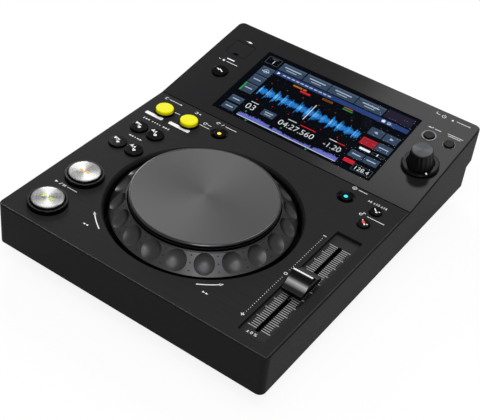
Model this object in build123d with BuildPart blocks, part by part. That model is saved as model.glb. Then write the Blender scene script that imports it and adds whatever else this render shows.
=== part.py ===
from build123d import *
from dataclasses import dataclass
from math import atan2, cos, degrees, hypot, radians, sin, sqrt, tan
import os

os.makedirs("parts", exist_ok=True)

# A table-top DJ media player, in millimetres. +Z is up, the front faces -Y, and the origin lies on the
# table under the middle of the case. The deck is level, and the display panel behind it is tilted.

# Case
case_width = 232.0
case_depth = 301.0
skirt_height = 14.0  # table to the lower edge of the side walls
deck_rise = 35.0  # lower edge of the side walls to the deck
display_rise = 17.6  # deck to the rear edge of the display panel
seam_from_front = 189.5
wall = 3.0
corner_radius = 5.0
edge_chamfer = 0.8
rear_setback = 7.5  # the rear wall stands in under the display housing
rear_wall_height = 20.9
ledge_rise = 2.5

# Deck and display panels, let into the case
panel_thickness = 1.5
panel_margin = 1.0
seam_gap = 1.0

# Bottom pan and feet
foot_height = 4.5
foot_radius = 9.0
foot_stem_radius = 2.4
foot_inset = 12.0
pan_sheet = 2.0
pan_lift = 0.5  # pan flange above the side walls' lower edge
pan_gap = 0.3
tray_inset = 22.0
tray_corner = 12.0
vent_length = 30.0
vent_width = 3.0
vent_pitch = 9.0
vent_count = 7

# Screws and their bosses
screw_radius = 1.45
screw_hole_radius = 1.7
pilot_radius = 1.5
screw_head_radius = 2.8
screw_head_height = 1.8
screw_reach = 6.0
boss_radius = 3.0
boss_root = 1.0  # how far a boss runs into the case's top wall
boss_inset = 6.5
side_screw_from_seam = 19.0
rear_screw_inset = 18.0
board_screw_up = 14.5  # selector's or stop button's centre up the slope to its board's screws
usb_screw_left = 13.0
usb_screw_right = 6.0
selector_screw_left = 12.9
selector_screw_right = 9.1
bracket_screw_gap = 2.6
bracket_screw_inset = 4.0

# Jog wheel: top plate, slanted finger ring, well
well_from_left = 41.1
well_from_right = 43.5
jog_from_front = 92.0
well_bevel = 1.8
well_wall = 1.5
well_floor = 2.0
well_depth = 23.0  # deck to the well's floor
ring_gap = 5.4
ring_width = 12.8
ring_outer_drop = 2.8  # ring's outer edge below the deck
ring_inner_rise = 8.8  # ring's inner edge above the deck
ring_skirt = 4.5
ring_thickness = 2.4
ring_foot = 5.0
dimple_count = 20
dimple_radius = 7.8
dimple_depth = 2.4
dimple_inset = 6.5  # ring's outer edge to the dimples' circle
dimple_phase = 0.5
plate_gap = 0.5
plate_rise = 13.9  # top of the plate above the deck
plate_rim = 3.5
plate_sheet = 2.0
plate_round = 1.3
press_travel = 0.4
press_gap = 0.05

# Jog hub, shaft, bearing and encoder
shaft_radius = 3.98
shaft_bore_clearance = 0.02
bearing_radius = 11.0
bearing_width = 7.0
bearing_drop = 7.0  # deck to the bearing's top face
bearing_race = 1.8
bearing_balls = 7
bearing_wall = 2.5
hub_running_gap = 0.3
hub_web = 2.2
hub_boss_radius = 10.0
drum_inset = 4.0
drum_wall = 2.0
guide_radius = 5.0
guide_clearance = 0.05
guide_height = 7.0
sensor_film = 0.5
clip_sheet = 0.8
clip_groove_depth = 0.8
clip_gap = 0.1
encoder_inset = 6.0
encoder_wall = 0.8
encoder_height = 11.0
encoder_slots = 48
encoder_slot_width = 1.4
encoder_slot_height = 6.0
gate_gap = 3.0
gate_size = 8.0
ear_radius = 4.0
ear_reach = 7.2
ear_drop = 11.0
ear_sheet = 2.0

# Tempo fader
fader_from_right = 20.3
fader_from_front = 73.5  # centre of the sunk plate
fader_width = 21.0
fader_length = 125.0
fader_sink = 2.2
fader_sheet = 1.0
fader_lip = 1.5
fader_fit = 0.1
slot_from_front = 71.0  # centre of the slot
slot_width = 3.4
slot_length = 106.0
frame_width = 14.0
frame_depth = 12.0
frame_end = 3.0
rod_radius = 1.0
rod_spacing = 6.0
rod_clearance = 0.06
rod_drop = 1.0  # rods below the middle of the frame
carriage_width = 10.0
carriage_length = 12.0
carriage_height = 5.0
lever_width = 2.4
lever_length = 5.0
lever_fit = 0.05
lever_in_cap = 4.0  # lever's top below the cap's crest
cap_width = 16.0
cap_length = 26.0
cap_rise = 11.5
cap_crest = 2.0
cap_ridge_run = 2.7
cap_ridge_drop = 2.7
cap_shoulder_rise = 3.5
cap_clearance = 0.6  # cap above the deck, so that it passes the ends of the sunk plate

# Buttons: play and cue, loop, search, lamp buttons in dishes, small ones
button_gap = 0.25
flange_lip = 0.45
flange_gap = 0.2
flange_thickness = 1.2
stem_radius = 1.5
stem_clearance = 0.1
stem_insertion = 1.2
switch_size = 6.0
switch_height = 5.0
big_radius = 12.6
big_rise = 5.0
big_travel = 1.2
big_from_left = 26.9
play_from_front = 23.5
cue_from_front = 63.3
collar_radius = 14.8
collar_rise = 1.2
collar_sleeve = 0.8
loop_radius = 7.2
loop_rise = 4.4
loop_travel = 1.0
loop_in_from_left = 19.7
loop_out_from_left = 43.8
loop_from_front = 167.8
search_radius = 7.1
search_rise = 1.8
search_travel = 0.7
search_back_from_left = 18.2
search_next_from_left = 34.0
track_from_front = 137.4
search_from_front = 111.4
lamp_radius = 4.6
lamp_rise = 0.4
lamp_travel = 0.5
lamp_from_front = 173.4
reloop_from_left = 69.5
vinyl_from_right = 46.4
dish_radius = 7.45
dish_depth = 1.6
dish_sleeve = 4.0
dish_flange = 1.1
small_radius = 4.9
small_rise = 1.5
small_travel = 0.5
small_from_right = 20.2
tempo_range_from_front = 172.2
master_tempo_from_front = 154.5
stop_radius = 6.6
stop_from_left = 24.0
stop_from_rear = 65.38
back_radius = 4.4
back_from_right = 29.2
tag_radius = 4.2
tag_from_right = 11.8
back_from_rear = 33.08

# Button boards
board_thickness = 1.6
board_drop = 12.0  # panel surface to the board's top
board_edge = 11.0  # case side to the board
jog_clearance = 3.2
left_board_reach = 50.0
left_board_reloop = 8.5
board_back = 17.0
board_step = 12.0

# Window, touch glass and screen
window_from_left = 43.1
window_from_right = 41.9
window_from_seam = 9.8
window_from_rear = 20.48
window_corner = 1.0
glass_border = 2.7
glass_fit = 0.3
glass_thickness = 1.1
screen_gap = 0.1
screen_border = 1.7
screen_thickness = 5.0
bracket_sheet = 1.0
bracket_border = 3.5
bracket_ear = 8.0
bracket_ear_length = 11.0

# Selector knob
selector_from_right = 19.1
selector_from_rear = 65.38
selector_travel = 0.6
knob_radius = 10.4
knob_top_radius = 8.6
knob_lift = 1.2
knob_rise = 16.5
knob_flutes = 16
knob_flute_radius = 1.0
knob_chamfer = 0.6
selector_ring_radius = 14.7
selector_ring_rise = 3.0
selector_ring_bore = 11.2
encoder_body = 12.0
encoder_body_height = 6.5
bushing_radius = 4.0
bushing_clearance = 0.2
selector_shaft_radius = 2.98
selector_bore_clearance = 0.05
shaft_in_body = 3.0
plunger_radius = 2.6
plunger_height = 1.0
knob_cap_height = 1.6
selector_ring_bevel = 1.2
selector_board_width = 30.0
selector_board_length = 52.0

# USB door, well and socket
door_from_left = 21.7
door_from_rear = 32.28
door_width = 19.0
door_length = 17.6
door_thickness = 1.3
door_gap = 0.3
door_corner = 2.2
door_notch_radius = 2.8
hinge_pin_radius = 0.4
hinge_pin_clearance = 0.05
hinge_pin_reach = 1.3
usb_well_width = 16.0
usb_well_length = 13.6
usb_well_wall = 1.2
usb_well_depth = 9.0
usb_socket_drop = 8.0
usb_socket_width = 13.2
usb_socket_length = 5.8
usb_socket_height = 14.0
usb_socket_sheet = 0.5
usb_tongue = 1.9
usb_board_width = 30.0
usb_board_length = 48.0

# Ribbon cable
ribbon_width = 20.0
ribbon_sheet = 0.4
ribbon_offset = 1.0
ribbon_connector_height = 3.4

# Main board and the jacks on the rear wall
main_board_gap = 0.5  # above the pan's flange
main_board_margin = 24.0
main_board_front_from_rear = 180.0
post_inset = 10.0
jack_height = 6.5  # board to the jacks' axis
jack_board_margin = 0.6
rca_radius = 4.15
rca_bore_radius = 1.7
rca_pitch = 14.0
rca_from_right = 61.0
rca_collar_radius = 5.0
rca_stick_out = 7.3
rca_block_depth = 14.0
lan_width = 16.0
lan_height = 13.5
lan_depth = 19.0
lan_mouth_width = 12.0
lan_mouth_height = 8.4
lan_mouth_depth = 12.0
lan_centre_x = 14.0
usb_b_width = 12.0
usb_b_height = 11.0
usb_b_depth = 16.0
usb_b_centre_x = -16.0
usb_b_mouth_width = 8.6
usb_b_mouth_height = 7.9
usb_b_mouth_cut = 1.4
usb_b_mouth_depth = 9.0
usb_b_tongue_width = 5.6
usb_b_tongue_height = 3.2
dc_width = 9.5
dc_height = 11.0
dc_depth = 14.0
dc_bore_radius = 3.2
dc_pin_radius = 1.0
dc_bore_depth = 10.0
dc_centre_x = -46.0
jack_fit = 0.2
power_radius = 4.5
power_from_left = 40.0
power_stick_out = 3.5
power_travel = 2.5
power_round = 0.6
power_switch_size = 11.0
power_switch_depth = 12.0
lock_slot_width = 7.0
lock_slot_height = 3.0
lock_from_right = 22.0

# Places worked out from the sizes
front_y = -case_depth / 2
rear_y = case_depth / 2
left_x = -case_width / 2
right_x = case_width / 2
rear_wall_y = rear_y - rear_setback
rear_inner_y = rear_wall_y - wall
deck_z = skirt_height + deck_rise
seam_y = front_y + seam_from_front
ledge_z = skirt_height + rear_wall_height + ledge_rise
slope = degrees(atan2(display_rise, rear_y - seam_y))
slope_length = hypot(display_rise, rear_y - seam_y)
deck_plane = Plane.XY.offset(deck_z)
display_plane = Plane(
    origin=(0, seam_y, deck_z),
    x_dir=(1, 0, 0),
    z_dir=(0, -sin(radians(slope)), cos(radians(slope))),
)
rear_plane = Plane.XZ.offset(-rear_wall_y)  # its normal points into the case

well_radius = (case_width - well_from_left - well_from_right) / 2
ring_outer_radius = well_radius - ring_gap
ring_inner_radius = ring_outer_radius - ring_width
dimple_circle_radius = ring_outer_radius - dimple_inset
plate_radius = ring_inner_radius - plate_gap
drum_radius = plate_radius - drum_inset
encoder_radius = drum_radius - encoder_inset
ear_circle_radius = well_radius + ear_reach
jog_clear_radius = well_radius + jog_clearance
jog_x = left_x + well_from_left + well_radius
jog_y = front_y + jog_from_front
fader_x = right_x - fader_from_right
fader_y = front_y + fader_from_front
slot_y = front_y + slot_from_front
window_width = case_width - window_from_left - window_from_right
window_height = slope_length - window_from_seam - window_from_rear
window_x = left_x + window_from_left + window_width / 2
window_up_slope = window_from_seam + window_height / 2
selector_x = right_x - selector_from_right
door_x = left_x + door_from_left
door_up_slope = slope_length - door_from_rear
stop_up_slope = slope_length - stop_from_rear
back_up_slope = slope_length - back_from_rear
selector_up_slope = slope_length - selector_from_rear

pan_flange_z = skirt_height + pan_lift
pan_top_z = pan_flange_z + pan_sheet
main_board_half_width = case_width / 2 - main_board_margin
main_board_z = pan_top_z + main_board_gap
main_board_top = main_board_z + board_thickness
jack_z = main_board_top + jack_height


def surface_z(y):
    """Height of the case's top skin over a place on the table."""
    return deck_z + max(0.0, (y - seam_y) * tan(radians(slope)))


@dataclass
class Button:
    """A push button: its cap, the panel that it stands in and how far it goes down."""

    name: str
    plane: Plane
    x: float
    y: float
    radius: float
    rise: float
    travel: float
    edge_round: float
    sleeve_depth: float = wall  # panel surface to the lower end of its hole
    drop: float = board_drop  # panel surface to the top of its board

    @property
    def hole_radius(self):
        return self.radius + button_gap


big_x = left_x + big_from_left
track_y = front_y + track_from_front
search_y = front_y + search_from_front
loop_y = front_y + loop_from_front
lamp_y = front_y + lamp_from_front
small_x = right_x - small_from_right
usb_board_drop = usb_socket_drop + usb_socket_height

play_button = Button(
    "play_button", deck_plane, big_x, front_y + play_from_front, big_radius, big_rise, big_travel, 0.8
)
cue_button = Button(
    "cue_button", deck_plane, big_x, front_y + cue_from_front, big_radius, big_rise, big_travel, 0.8
)
search_buttons = [
    Button(name, deck_plane, left_x + from_left, y, search_radius, search_rise, search_travel, 0.7)
    for name, from_left, y in (
        ("track_back_button", search_back_from_left, track_y),
        ("track_next_button", search_next_from_left, track_y),
        ("search_back_button", search_back_from_left, search_y),
        ("search_next_button", search_next_from_left, search_y),
    )
]
loop_buttons = [
    Button(name, deck_plane, left_x + from_left, loop_y, loop_radius, loop_rise, loop_travel, 1.0)
    for name, from_left in (("loop_in_button", loop_in_from_left), ("loop_out_button", loop_out_from_left))
]
lamp_buttons = [
    Button(name, deck_plane, x, lamp_y, lamp_radius, lamp_rise, lamp_travel, 0.5, sleeve_depth=dish_sleeve)
    for name, x in (
        ("reloop_button", left_x + reloop_from_left),
        ("vinyl_button", right_x - vinyl_from_right),
    )
]
small_buttons = [
    Button(name, deck_plane, small_x, front_y + from_front, small_radius, small_rise, small_travel, 0.6)
    for name, from_front in (
        ("tempo_range_button", tempo_range_from_front),
        ("master_tempo_button", master_tempo_from_front),
    )
]
stop_button = Button(
    "usb_stop_button", display_plane, left_x + stop_from_left, stop_up_slope,
    stop_radius, small_rise, small_travel, 0.6, drop=usb_board_drop,
)
back_button = Button(
    "back_button", display_plane, right_x - back_from_right, back_up_slope,
    back_radius, small_rise, small_travel, 0.5,
)
tag_button = Button(
    "tag_button", display_plane, right_x - tag_from_right, back_up_slope,
    tag_radius, small_rise, small_travel, 0.5,
)
big_buttons = [play_button, cue_button]
deck_buttons = big_buttons + search_buttons + loop_buttons + lamp_buttons + small_buttons
display_buttons = [stop_button, back_button, tag_button]
buttons = deck_buttons + display_buttons

# Screw places
side_x = case_width / 2 - boss_inset
case_screw_places = [
    (-side_x, front_y + boss_inset),
    (-side_x, jog_y),
    (-side_x, seam_y - side_screw_from_seam),
    (-side_x, rear_y - rear_screw_inset),
    (side_x, front_y + boss_inset),
    (side_x, seam_y - side_screw_from_seam),
    (side_x, rear_y - rear_screw_inset),
]
deck_board_screw_places = [
    (big_x - 10.0, (play_button.y + cue_button.y) / 2),
    (big_x - 10.0, (cue_button.y + search_y) / 2),
    (left_x + (loop_out_from_left + reloop_from_left) / 2 - 0.4, loop_y + 8.0),
    (small_x - 14.0, front_y + (tempo_range_from_front + master_tempo_from_front) / 2 - 3.0),
    (small_x + 5.2, lamp_y + 7.5),
]
ear_places = [
    (jog_x + sx * ear_circle_radius / sqrt(2), jog_y + sy * ear_circle_radius / sqrt(2))
    for sx in (-1, 1) for sy in (-1, 1)
]
bracket_half_width = window_width / 2 + glass_border + bracket_border
bracket_half_height = window_height / 2 + glass_border + bracket_border - 0.5
bracket_screw_places = [
    (
        window_x + sx * (bracket_half_width + bracket_screw_gap),
        window_up_slope + sy * (bracket_half_height - bracket_screw_inset),
    )
    for sx in (-1, 1) for sy in (-1, 1)
]
usb_board_screw_places = [
    (stop_button.x - usb_screw_left, stop_up_slope + board_screw_up),
    (stop_button.x + usb_screw_right, stop_up_slope + board_screw_up),
]
selector_board_screw_places = [
    (selector_x - selector_screw_left, selector_up_slope + board_screw_up),
    (selector_x + selector_screw_right, selector_up_slope + board_screw_up),
]
tray_half_width = case_width / 2 - tray_inset
tray_front_y = front_y + tray_inset
tray_rear_y = rear_wall_y - tray_inset
tray_centre_y = (tray_front_y + tray_rear_y) / 2
main_board_front_y = rear_y - main_board_front_from_rear
post_places = [
    (sx * (tray_half_width - post_inset), y)
    for sx in (-1, 1) for y in (main_board_front_y + post_inset, tray_rear_y - post_inset)
]

bracket_drop = panel_thickness + glass_thickness + screen_gap + screen_thickness


def panel_holes(holes_of):
    """Round holes of a panel's push buttons, drawn in the current sketch."""
    for button in holes_of:
        radius = button.hole_radius
        if button in big_buttons:
            radius = button.hole_radius + collar_sleeve
        if button in lamp_buttons:
            radius = dish_radius
        with Locations((button.x, button.y)):
            Circle(radius)


def deck_outline(inset, rear_edge):
    """Deck panel outline, round at the two front corners and square at the seam."""
    width = case_width - 2 * inset
    length = rear_edge - (front_y + inset)
    with Locations((0, rear_edge - length / 2)):
        outline = Rectangle(width, length)
    fillet(outline.vertices().group_by(Axis.Y)[0], corner_radius - inset)


def display_outline(inset, front_edge):
    """Display panel outline, square at the seam and round at the two rear corners."""
    width = case_width - 2 * inset
    length = slope_length - inset - front_edge
    with Locations((0, front_edge + length / 2)):
        outline = Rectangle(width, length)
    fillet(outline.vertices().group_by(Axis.Y)[-1], corner_radius - inset)


def fader_opening():
    """Rectangular opening of the deck over the sunk fader plate."""
    with Locations((fader_x, fader_y)):
        RectangleRounded(fader_width, fader_length, 1.0)


def bosses(plane, places, top, bottom):
    """Screw bosses under a panel, from depth top down to depth bottom, in the current part."""
    with BuildSketch(plane.offset(-bottom)) as rounds:
        with Locations(*places):
            Circle(boss_radius)
    extrude(rounds.sketch, amount=bottom - top)


def pilot_holes(plane, places, bottom):
    """Pilot holes in the lower ends of a panel's bosses, in the current part."""
    with BuildSketch(plane.offset(-bottom)) as rounds:
        with Locations(*places):
            Circle(pilot_radius)
    extrude(rounds.sketch, amount=min(screw_reach, bottom - wall), mode=Mode.SUBTRACT)


# Case shell: side walls, top wall with trays for the two panels, USB well and screw bosses
with BuildPart() as shell:
    with BuildSketch(Plane.YZ) as case_side:
        with BuildLine():
            Polyline(
                (front_y, skirt_height),
                (front_y, deck_z),
                (seam_y, deck_z),
                (rear_y, deck_z + display_rise),
                (rear_y, ledge_z),
                (rear_wall_y, skirt_height + rear_wall_height),
                (rear_wall_y, skirt_height),
                close=True,
            )
        make_face()
    extrude(amount=case_width / 2, both=True)
    fillet(shell.edges().filter_by(Axis.Z), corner_radius)
    deck_face = shell.faces().filter_by(Axis.Z).sort_by(Axis.Z)[-1]
    display_face = shell.faces().filter_by(display_plane).sort_by(Axis.Z)[-1]
    deck_edges = deck_face.edges().sort_by(Axis.Y)[:-1]
    display_edges = display_face.edges().sort_by(Axis.Y)[1:]
    chamfer(deck_edges + display_edges, edge_chamfer)
    with BuildSketch(Plane.YZ):
        add(case_side.sketch_local)
        offset(amount=-wall, kind=Kind.INTERSECTION, mode=Mode.REPLACE)
        with Locations(((front_y + rear_wall_y) / 2, skirt_height + wall)):
            Rectangle(rear_wall_y - front_y - 2 * wall, 4 * wall)
    extrude(amount=case_width / 2 - wall, both=True, mode=Mode.SUBTRACT)
    with BuildSketch(deck_plane):
        deck_outline(panel_margin, seam_y)
    extrude(amount=-panel_thickness, mode=Mode.SUBTRACT)
    with BuildSketch(display_plane):
        display_outline(panel_margin, 0)
    extrude(amount=-panel_thickness, mode=Mode.SUBTRACT)
    with Locations((jog_x, jog_y, deck_z - wall / 2)):
        Cone(well_radius - well_bevel, well_radius, wall, mode=Mode.SUBTRACT)
    bosses(deck_plane, deck_board_screw_places, wall - boss_root, board_drop)
    bosses(deck_plane, ear_places, wall - boss_root, ear_drop)
    bosses(display_plane, bracket_screw_places, wall - boss_root, bracket_drop)
    bosses(display_plane, usb_board_screw_places, wall - boss_root, usb_board_drop)
    bosses(display_plane, selector_board_screw_places, wall - boss_root, board_drop)
    with BuildSketch(display_plane.offset(-usb_well_depth)):
        with Locations((door_x, door_up_slope)):
            Rectangle(usb_well_width + 2 * usb_well_wall, usb_well_length + 2 * usb_well_wall)
    extrude(amount=usb_well_depth - wall + boss_root)
    for place in case_screw_places:
        with BuildSketch(Plane.XY.offset(pan_top_z)):
            with Locations(place):
                Circle(boss_radius)
        extrude(amount=surface_z(place[1]) - wall + boss_root - pan_top_z)
    with BuildSketch(Plane.XY.offset(pan_top_z)):
        with Locations(*case_screw_places):
            Circle(pilot_radius)
    extrude(amount=screw_reach, mode=Mode.SUBTRACT)
    pilot_holes(deck_plane, deck_board_screw_places, board_drop)
    pilot_holes(deck_plane, ear_places, ear_drop)
    pilot_holes(display_plane, bracket_screw_places, bracket_drop)
    pilot_holes(display_plane, usb_board_screw_places, usb_board_drop)
    pilot_holes(display_plane, selector_board_screw_places, board_drop)
    with BuildSketch(deck_plane):
        panel_holes(deck_buttons)
        fader_opening()
    extrude(amount=-wall, mode=Mode.SUBTRACT)
    with BuildSketch(display_plane):
        panel_holes(display_buttons)
        with Locations((window_x, window_up_slope)):
            Rectangle(
                window_width + 2 * (glass_border + glass_fit),
                window_height + 2 * (glass_border + glass_fit),
            )
        with Locations((selector_x, selector_up_slope)):
            Circle(bushing_radius + bushing_clearance)
    extrude(amount=-wall, mode=Mode.SUBTRACT)
    with BuildSketch(display_plane):
        with Locations((door_x, door_up_slope)):
            Rectangle(usb_well_width, usb_well_length)
    extrude(amount=usb_well_wall - usb_well_depth, mode=Mode.SUBTRACT)
    with BuildSketch(display_plane):
        with Locations((door_x, door_up_slope)):
            Rectangle(usb_socket_width + 2 * jack_fit, usb_socket_length + 2 * jack_fit)
    extrude(amount=-usb_well_depth, mode=Mode.SUBTRACT)
    with BuildSketch(rear_plane):
        for side in (-1, 1):
            with Locations((right_x - rca_from_right + side * rca_pitch / 2, jack_z)):
                Circle(rca_collar_radius + jack_fit)
        with Locations((lan_centre_x, main_board_top + lan_height / 2)):
            Rectangle(lan_width + 2 * jack_fit, lan_height + 2 * jack_fit)
        with Locations((usb_b_centre_x, main_board_top + usb_b_height / 2)):
            Rectangle(usb_b_width + 2 * jack_fit, usb_b_height + 2 * jack_fit)
        with Locations((dc_centre_x, main_board_top + dc_height / 2)):
            Rectangle(dc_width + 2 * jack_fit, dc_height + 2 * jack_fit)
        with Locations((left_x + power_from_left, jack_z)):
            Circle(power_radius + button_gap)
        with Locations((right_x - lock_from_right, jack_z)):
            SlotOverall(lock_slot_width, lock_slot_height)
    extrude(amount=wall, mode=Mode.SUBTRACT)

# The shell is two mouldings that meet under the gap between the panels: deck part and display part
seam_plane = Plane.XZ.offset(-seam_y)
with BuildPart() as upper_case:
    add(shell.part)
    split(bisect_by=seam_plane, keep=Keep.TOP)
upper_case.part.label = "upper_case"
export_step(upper_case.part, "parts/upper_case.step")

with BuildPart() as display_housing:
    add(shell.part)
    split(bisect_by=seam_plane, keep=Keep.BOTTOM)
display_housing.part.label = "display_housing"
export_step(display_housing.part, "parts/display_housing.step")

# Deck panel: hairline sheet with the openings of the deck
with BuildPart() as deck_panel:
    with BuildSketch(deck_plane.offset(-panel_thickness)):
        deck_outline(panel_margin, seam_y - seam_gap / 2)
    extrude(amount=panel_thickness)
    with BuildSketch(deck_plane):
        panel_holes(deck_buttons)
        fader_opening()
    extrude(amount=-panel_thickness, mode=Mode.SUBTRACT)
    with Locations((jog_x, jog_y, deck_z - wall / 2)):
        Cone(well_radius - well_bevel, well_radius, wall, mode=Mode.SUBTRACT)
deck_panel.part.label = "deck_panel"
export_step(deck_panel.part, "parts/deck_panel.step")

# USB door's hinge axis, in the thickness of the display panel
door_hinge_up_slope = door_up_slope + door_length / 2 - door_thickness / 2
door_hinge_point = display_plane.from_local_coords(Vector(door_x, door_hinge_up_slope, -door_thickness / 2))
hinge_plane = Plane(origin=door_hinge_point, x_dir=(0, 1, 0), z_dir=(1, 0, 0))

# Display panel: window, door opening with its pin holes, button holes
with BuildPart() as display_panel:
    with BuildSketch(display_plane.offset(-panel_thickness)):
        display_outline(panel_margin, seam_gap / 2)
    extrude(amount=panel_thickness)
    with BuildSketch(display_plane):
        panel_holes(display_buttons)
        with Locations((window_x, window_up_slope)):
            RectangleRounded(window_width, window_height, window_corner)
        with Locations((door_x, door_up_slope)):
            RectangleRounded(door_width + 2 * door_gap, door_length + 2 * door_gap, door_corner + door_gap)
        with Locations((door_x, door_hinge_up_slope)):
            Rectangle(door_width + 2 * door_gap, door_thickness + 2 * door_gap)
        with Locations((selector_x, selector_up_slope)):
            Circle(bushing_radius + bushing_clearance)
    extrude(amount=-panel_thickness, mode=Mode.SUBTRACT)
    with BuildSketch(hinge_plane):
        Circle(hinge_pin_radius + hinge_pin_clearance)
    extrude(
        amount=door_width / 2 + hinge_pin_reach + door_gap + hinge_pin_clearance,
        both=True, mode=Mode.SUBTRACT,
    )
display_panel.part.label = "display_panel"
export_step(display_panel.part, "parts/display_panel.step")

# Bottom pan: flange between the side walls, sunk tray with vents, posts for the main board
pan_front_y = front_y + wall + pan_gap
pan_rear_y = rear_inner_y - pan_gap
pan_half_width = case_width / 2 - wall - pan_gap
vent_y = tray_centre_y - 40.0
with BuildPart() as bottom_pan:
    with BuildSketch(Plane.XY.offset(pan_flange_z)):
        with Locations((0, (pan_front_y + pan_rear_y) / 2)):
            RectangleRounded(2 * pan_half_width, pan_rear_y - pan_front_y, corner_radius - wall)
    extrude(amount=pan_sheet)
    with BuildSketch(Plane.XY.offset(foot_height)):
        with Locations((0, tray_centre_y)):
            RectangleRounded(2 * tray_half_width, tray_rear_y - tray_front_y, tray_corner)
    extrude(amount=pan_top_z - foot_height)
    with BuildSketch(Plane.XY.offset(foot_height + pan_sheet)):
        with Locations((0, tray_centre_y)):
            RectangleRounded(
                2 * (tray_half_width - pan_sheet),
                tray_rear_y - tray_front_y - 2 * pan_sheet,
                tray_corner - pan_sheet,
            )
    extrude(amount=pan_top_z - foot_height, mode=Mode.SUBTRACT)
    with BuildSketch(Plane.XY.offset(foot_height + pan_sheet)):
        with Locations(*post_places):
            Circle(boss_radius)
    extrude(amount=main_board_z - foot_height - pan_sheet)
    with BuildSketch(Plane.XY.offset(main_board_z - screw_reach)):
        with Locations(*post_places):
            Circle(pilot_radius)
    extrude(amount=screw_reach, mode=Mode.SUBTRACT)
    foot_places = [
        (sx * (tray_half_width - foot_inset), y)
        for sx in (-1, 1) for y in (tray_front_y + foot_inset, tray_rear_y - foot_inset)
    ]
    with BuildSketch(Plane.XY.offset(foot_height)):
        with Locations(*foot_places):
            Circle(foot_stem_radius + button_gap)
        with Locations((0, vent_y)):
            with GridLocations(0, vent_pitch, 1, vent_count):
                SlotOverall(vent_length, vent_width)
    extrude(amount=pan_sheet, mode=Mode.SUBTRACT)
    with BuildSketch(Plane.XY.offset(pan_flange_z)):
        with Locations(*case_screw_places):
            Circle(screw_hole_radius)
    extrude(amount=pan_sheet, mode=Mode.SUBTRACT)
bottom_pan.part.label = "bottom_pan"
export_step(bottom_pan.part, "parts/bottom_pan.step")

# Rubber feet with stems pressed into the pan
with BuildPart() as feet:
    with BuildSketch(Plane.XY):
        with Locations(*foot_places):
            Circle(foot_radius)
    extrude(amount=foot_height, taper=4)
    with BuildSketch(Plane.XY.offset(foot_height)):
        with Locations(*foot_places):
            Circle(foot_stem_radius)
    extrude(amount=pan_sheet)
feet.part.label = "feet"
export_step(feet.part, "parts/feet.step")

# Screws: one kind, head below and thread up, at the case, boards, bracket and jog base
screw_stations = [
    (Plane.XY.offset(pan_flange_z), case_screw_places, pan_sheet),
    (deck_plane.offset(-board_drop - board_thickness), deck_board_screw_places, board_thickness),
    (deck_plane.offset(-ear_drop - ear_sheet), ear_places, ear_sheet),
    (display_plane.offset(-bracket_drop - bracket_sheet), bracket_screw_places, bracket_sheet),
    (display_plane.offset(-usb_board_drop - board_thickness), usb_board_screw_places, board_thickness),
    (display_plane.offset(-board_drop - board_thickness), selector_board_screw_places, board_thickness),
]
with BuildPart() as screws:
    for plane, places, grip in screw_stations:
        with BuildSketch(plane):
            with Locations(*places):
                Circle(screw_head_radius)
        extrude(amount=-screw_head_height)
        with BuildSketch(plane):
            with Locations(*places):
                Circle(screw_radius)
        extrude(amount=grip + screw_reach / 2)
    with BuildSketch(Plane.XY.offset(main_board_top)):
        with Locations(*post_places):
            Circle(screw_head_radius)
    extrude(amount=screw_head_height)
    with BuildSketch(Plane.XY.offset(main_board_top)):
        with Locations(*post_places):
            Circle(screw_radius)
    extrude(amount=-board_thickness - screw_reach / 2)
screws.part.label = "screws"
export_step(screws.part, "parts/screws.step")

# Jog base: the well under the wheel, with the bearing seat in its middle and four screw ears
well_wall_radius = well_radius - well_bevel
well_floor_z = deck_z - well_depth
bearing_top_z = deck_z - bearing_drop
bearing_bottom_z = bearing_top_z - bearing_width
bearing_seat_radius = bearing_radius - bearing_race / 2
well_top_z = deck_z - wall
with BuildPart() as jog_base:
    with BuildSketch(Plane.XY.offset(well_floor_z - well_floor)):
        with Locations((jog_x, jog_y)):
            Circle(well_wall_radius + well_wall)
    extrude(amount=well_top_z - well_floor_z + well_floor)
    with BuildSketch(Plane.XY.offset(well_floor_z)):
        with Locations((jog_x, jog_y)):
            Circle(well_wall_radius)
            Circle(bearing_radius + bearing_wall, mode=Mode.SUBTRACT)
    extrude(amount=well_top_z - well_floor_z, mode=Mode.SUBTRACT)
    with BuildSketch(Plane.XY.offset(bearing_top_z)):
        with Locations((jog_x, jog_y)):
            Circle(bearing_radius + bearing_wall)
    extrude(amount=well_top_z - bearing_top_z, mode=Mode.SUBTRACT)
    with BuildSketch(Plane.XY.offset(bearing_bottom_z)):
        with Locations((jog_x, jog_y)):
            Circle(bearing_radius)
    extrude(amount=bearing_width, mode=Mode.SUBTRACT)
    with BuildSketch(Plane.XY.offset(well_floor_z)):
        with Locations((jog_x, jog_y)):
            Circle(bearing_seat_radius)
    extrude(amount=bearing_bottom_z - well_floor_z, mode=Mode.SUBTRACT)
    with BuildSketch(Plane.XY.offset(deck_z - ear_drop - ear_sheet)):
        with Locations(*ear_places):
            Circle(ear_radius)
        for ear_x, ear_y in ear_places:
            with BuildLine():
                Line((jog_x, jog_y), (ear_x, ear_y))
            trace(line_width=2 * ear_radius)
        with Locations((jog_x, jog_y)):
            Circle(well_wall_radius + well_wall / 2, mode=Mode.SUBTRACT)
    extrude(amount=ear_sheet)
    with BuildSketch(Plane.XY.offset(deck_z - ear_drop - ear_sheet)):
        with Locations(*ear_places):
            Circle(screw_hole_radius)
    extrude(amount=ear_sheet, mode=Mode.SUBTRACT)
jog_base.part.label = "jog_base"
export_step(jog_base.part, "parts/jog_base.step")

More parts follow.
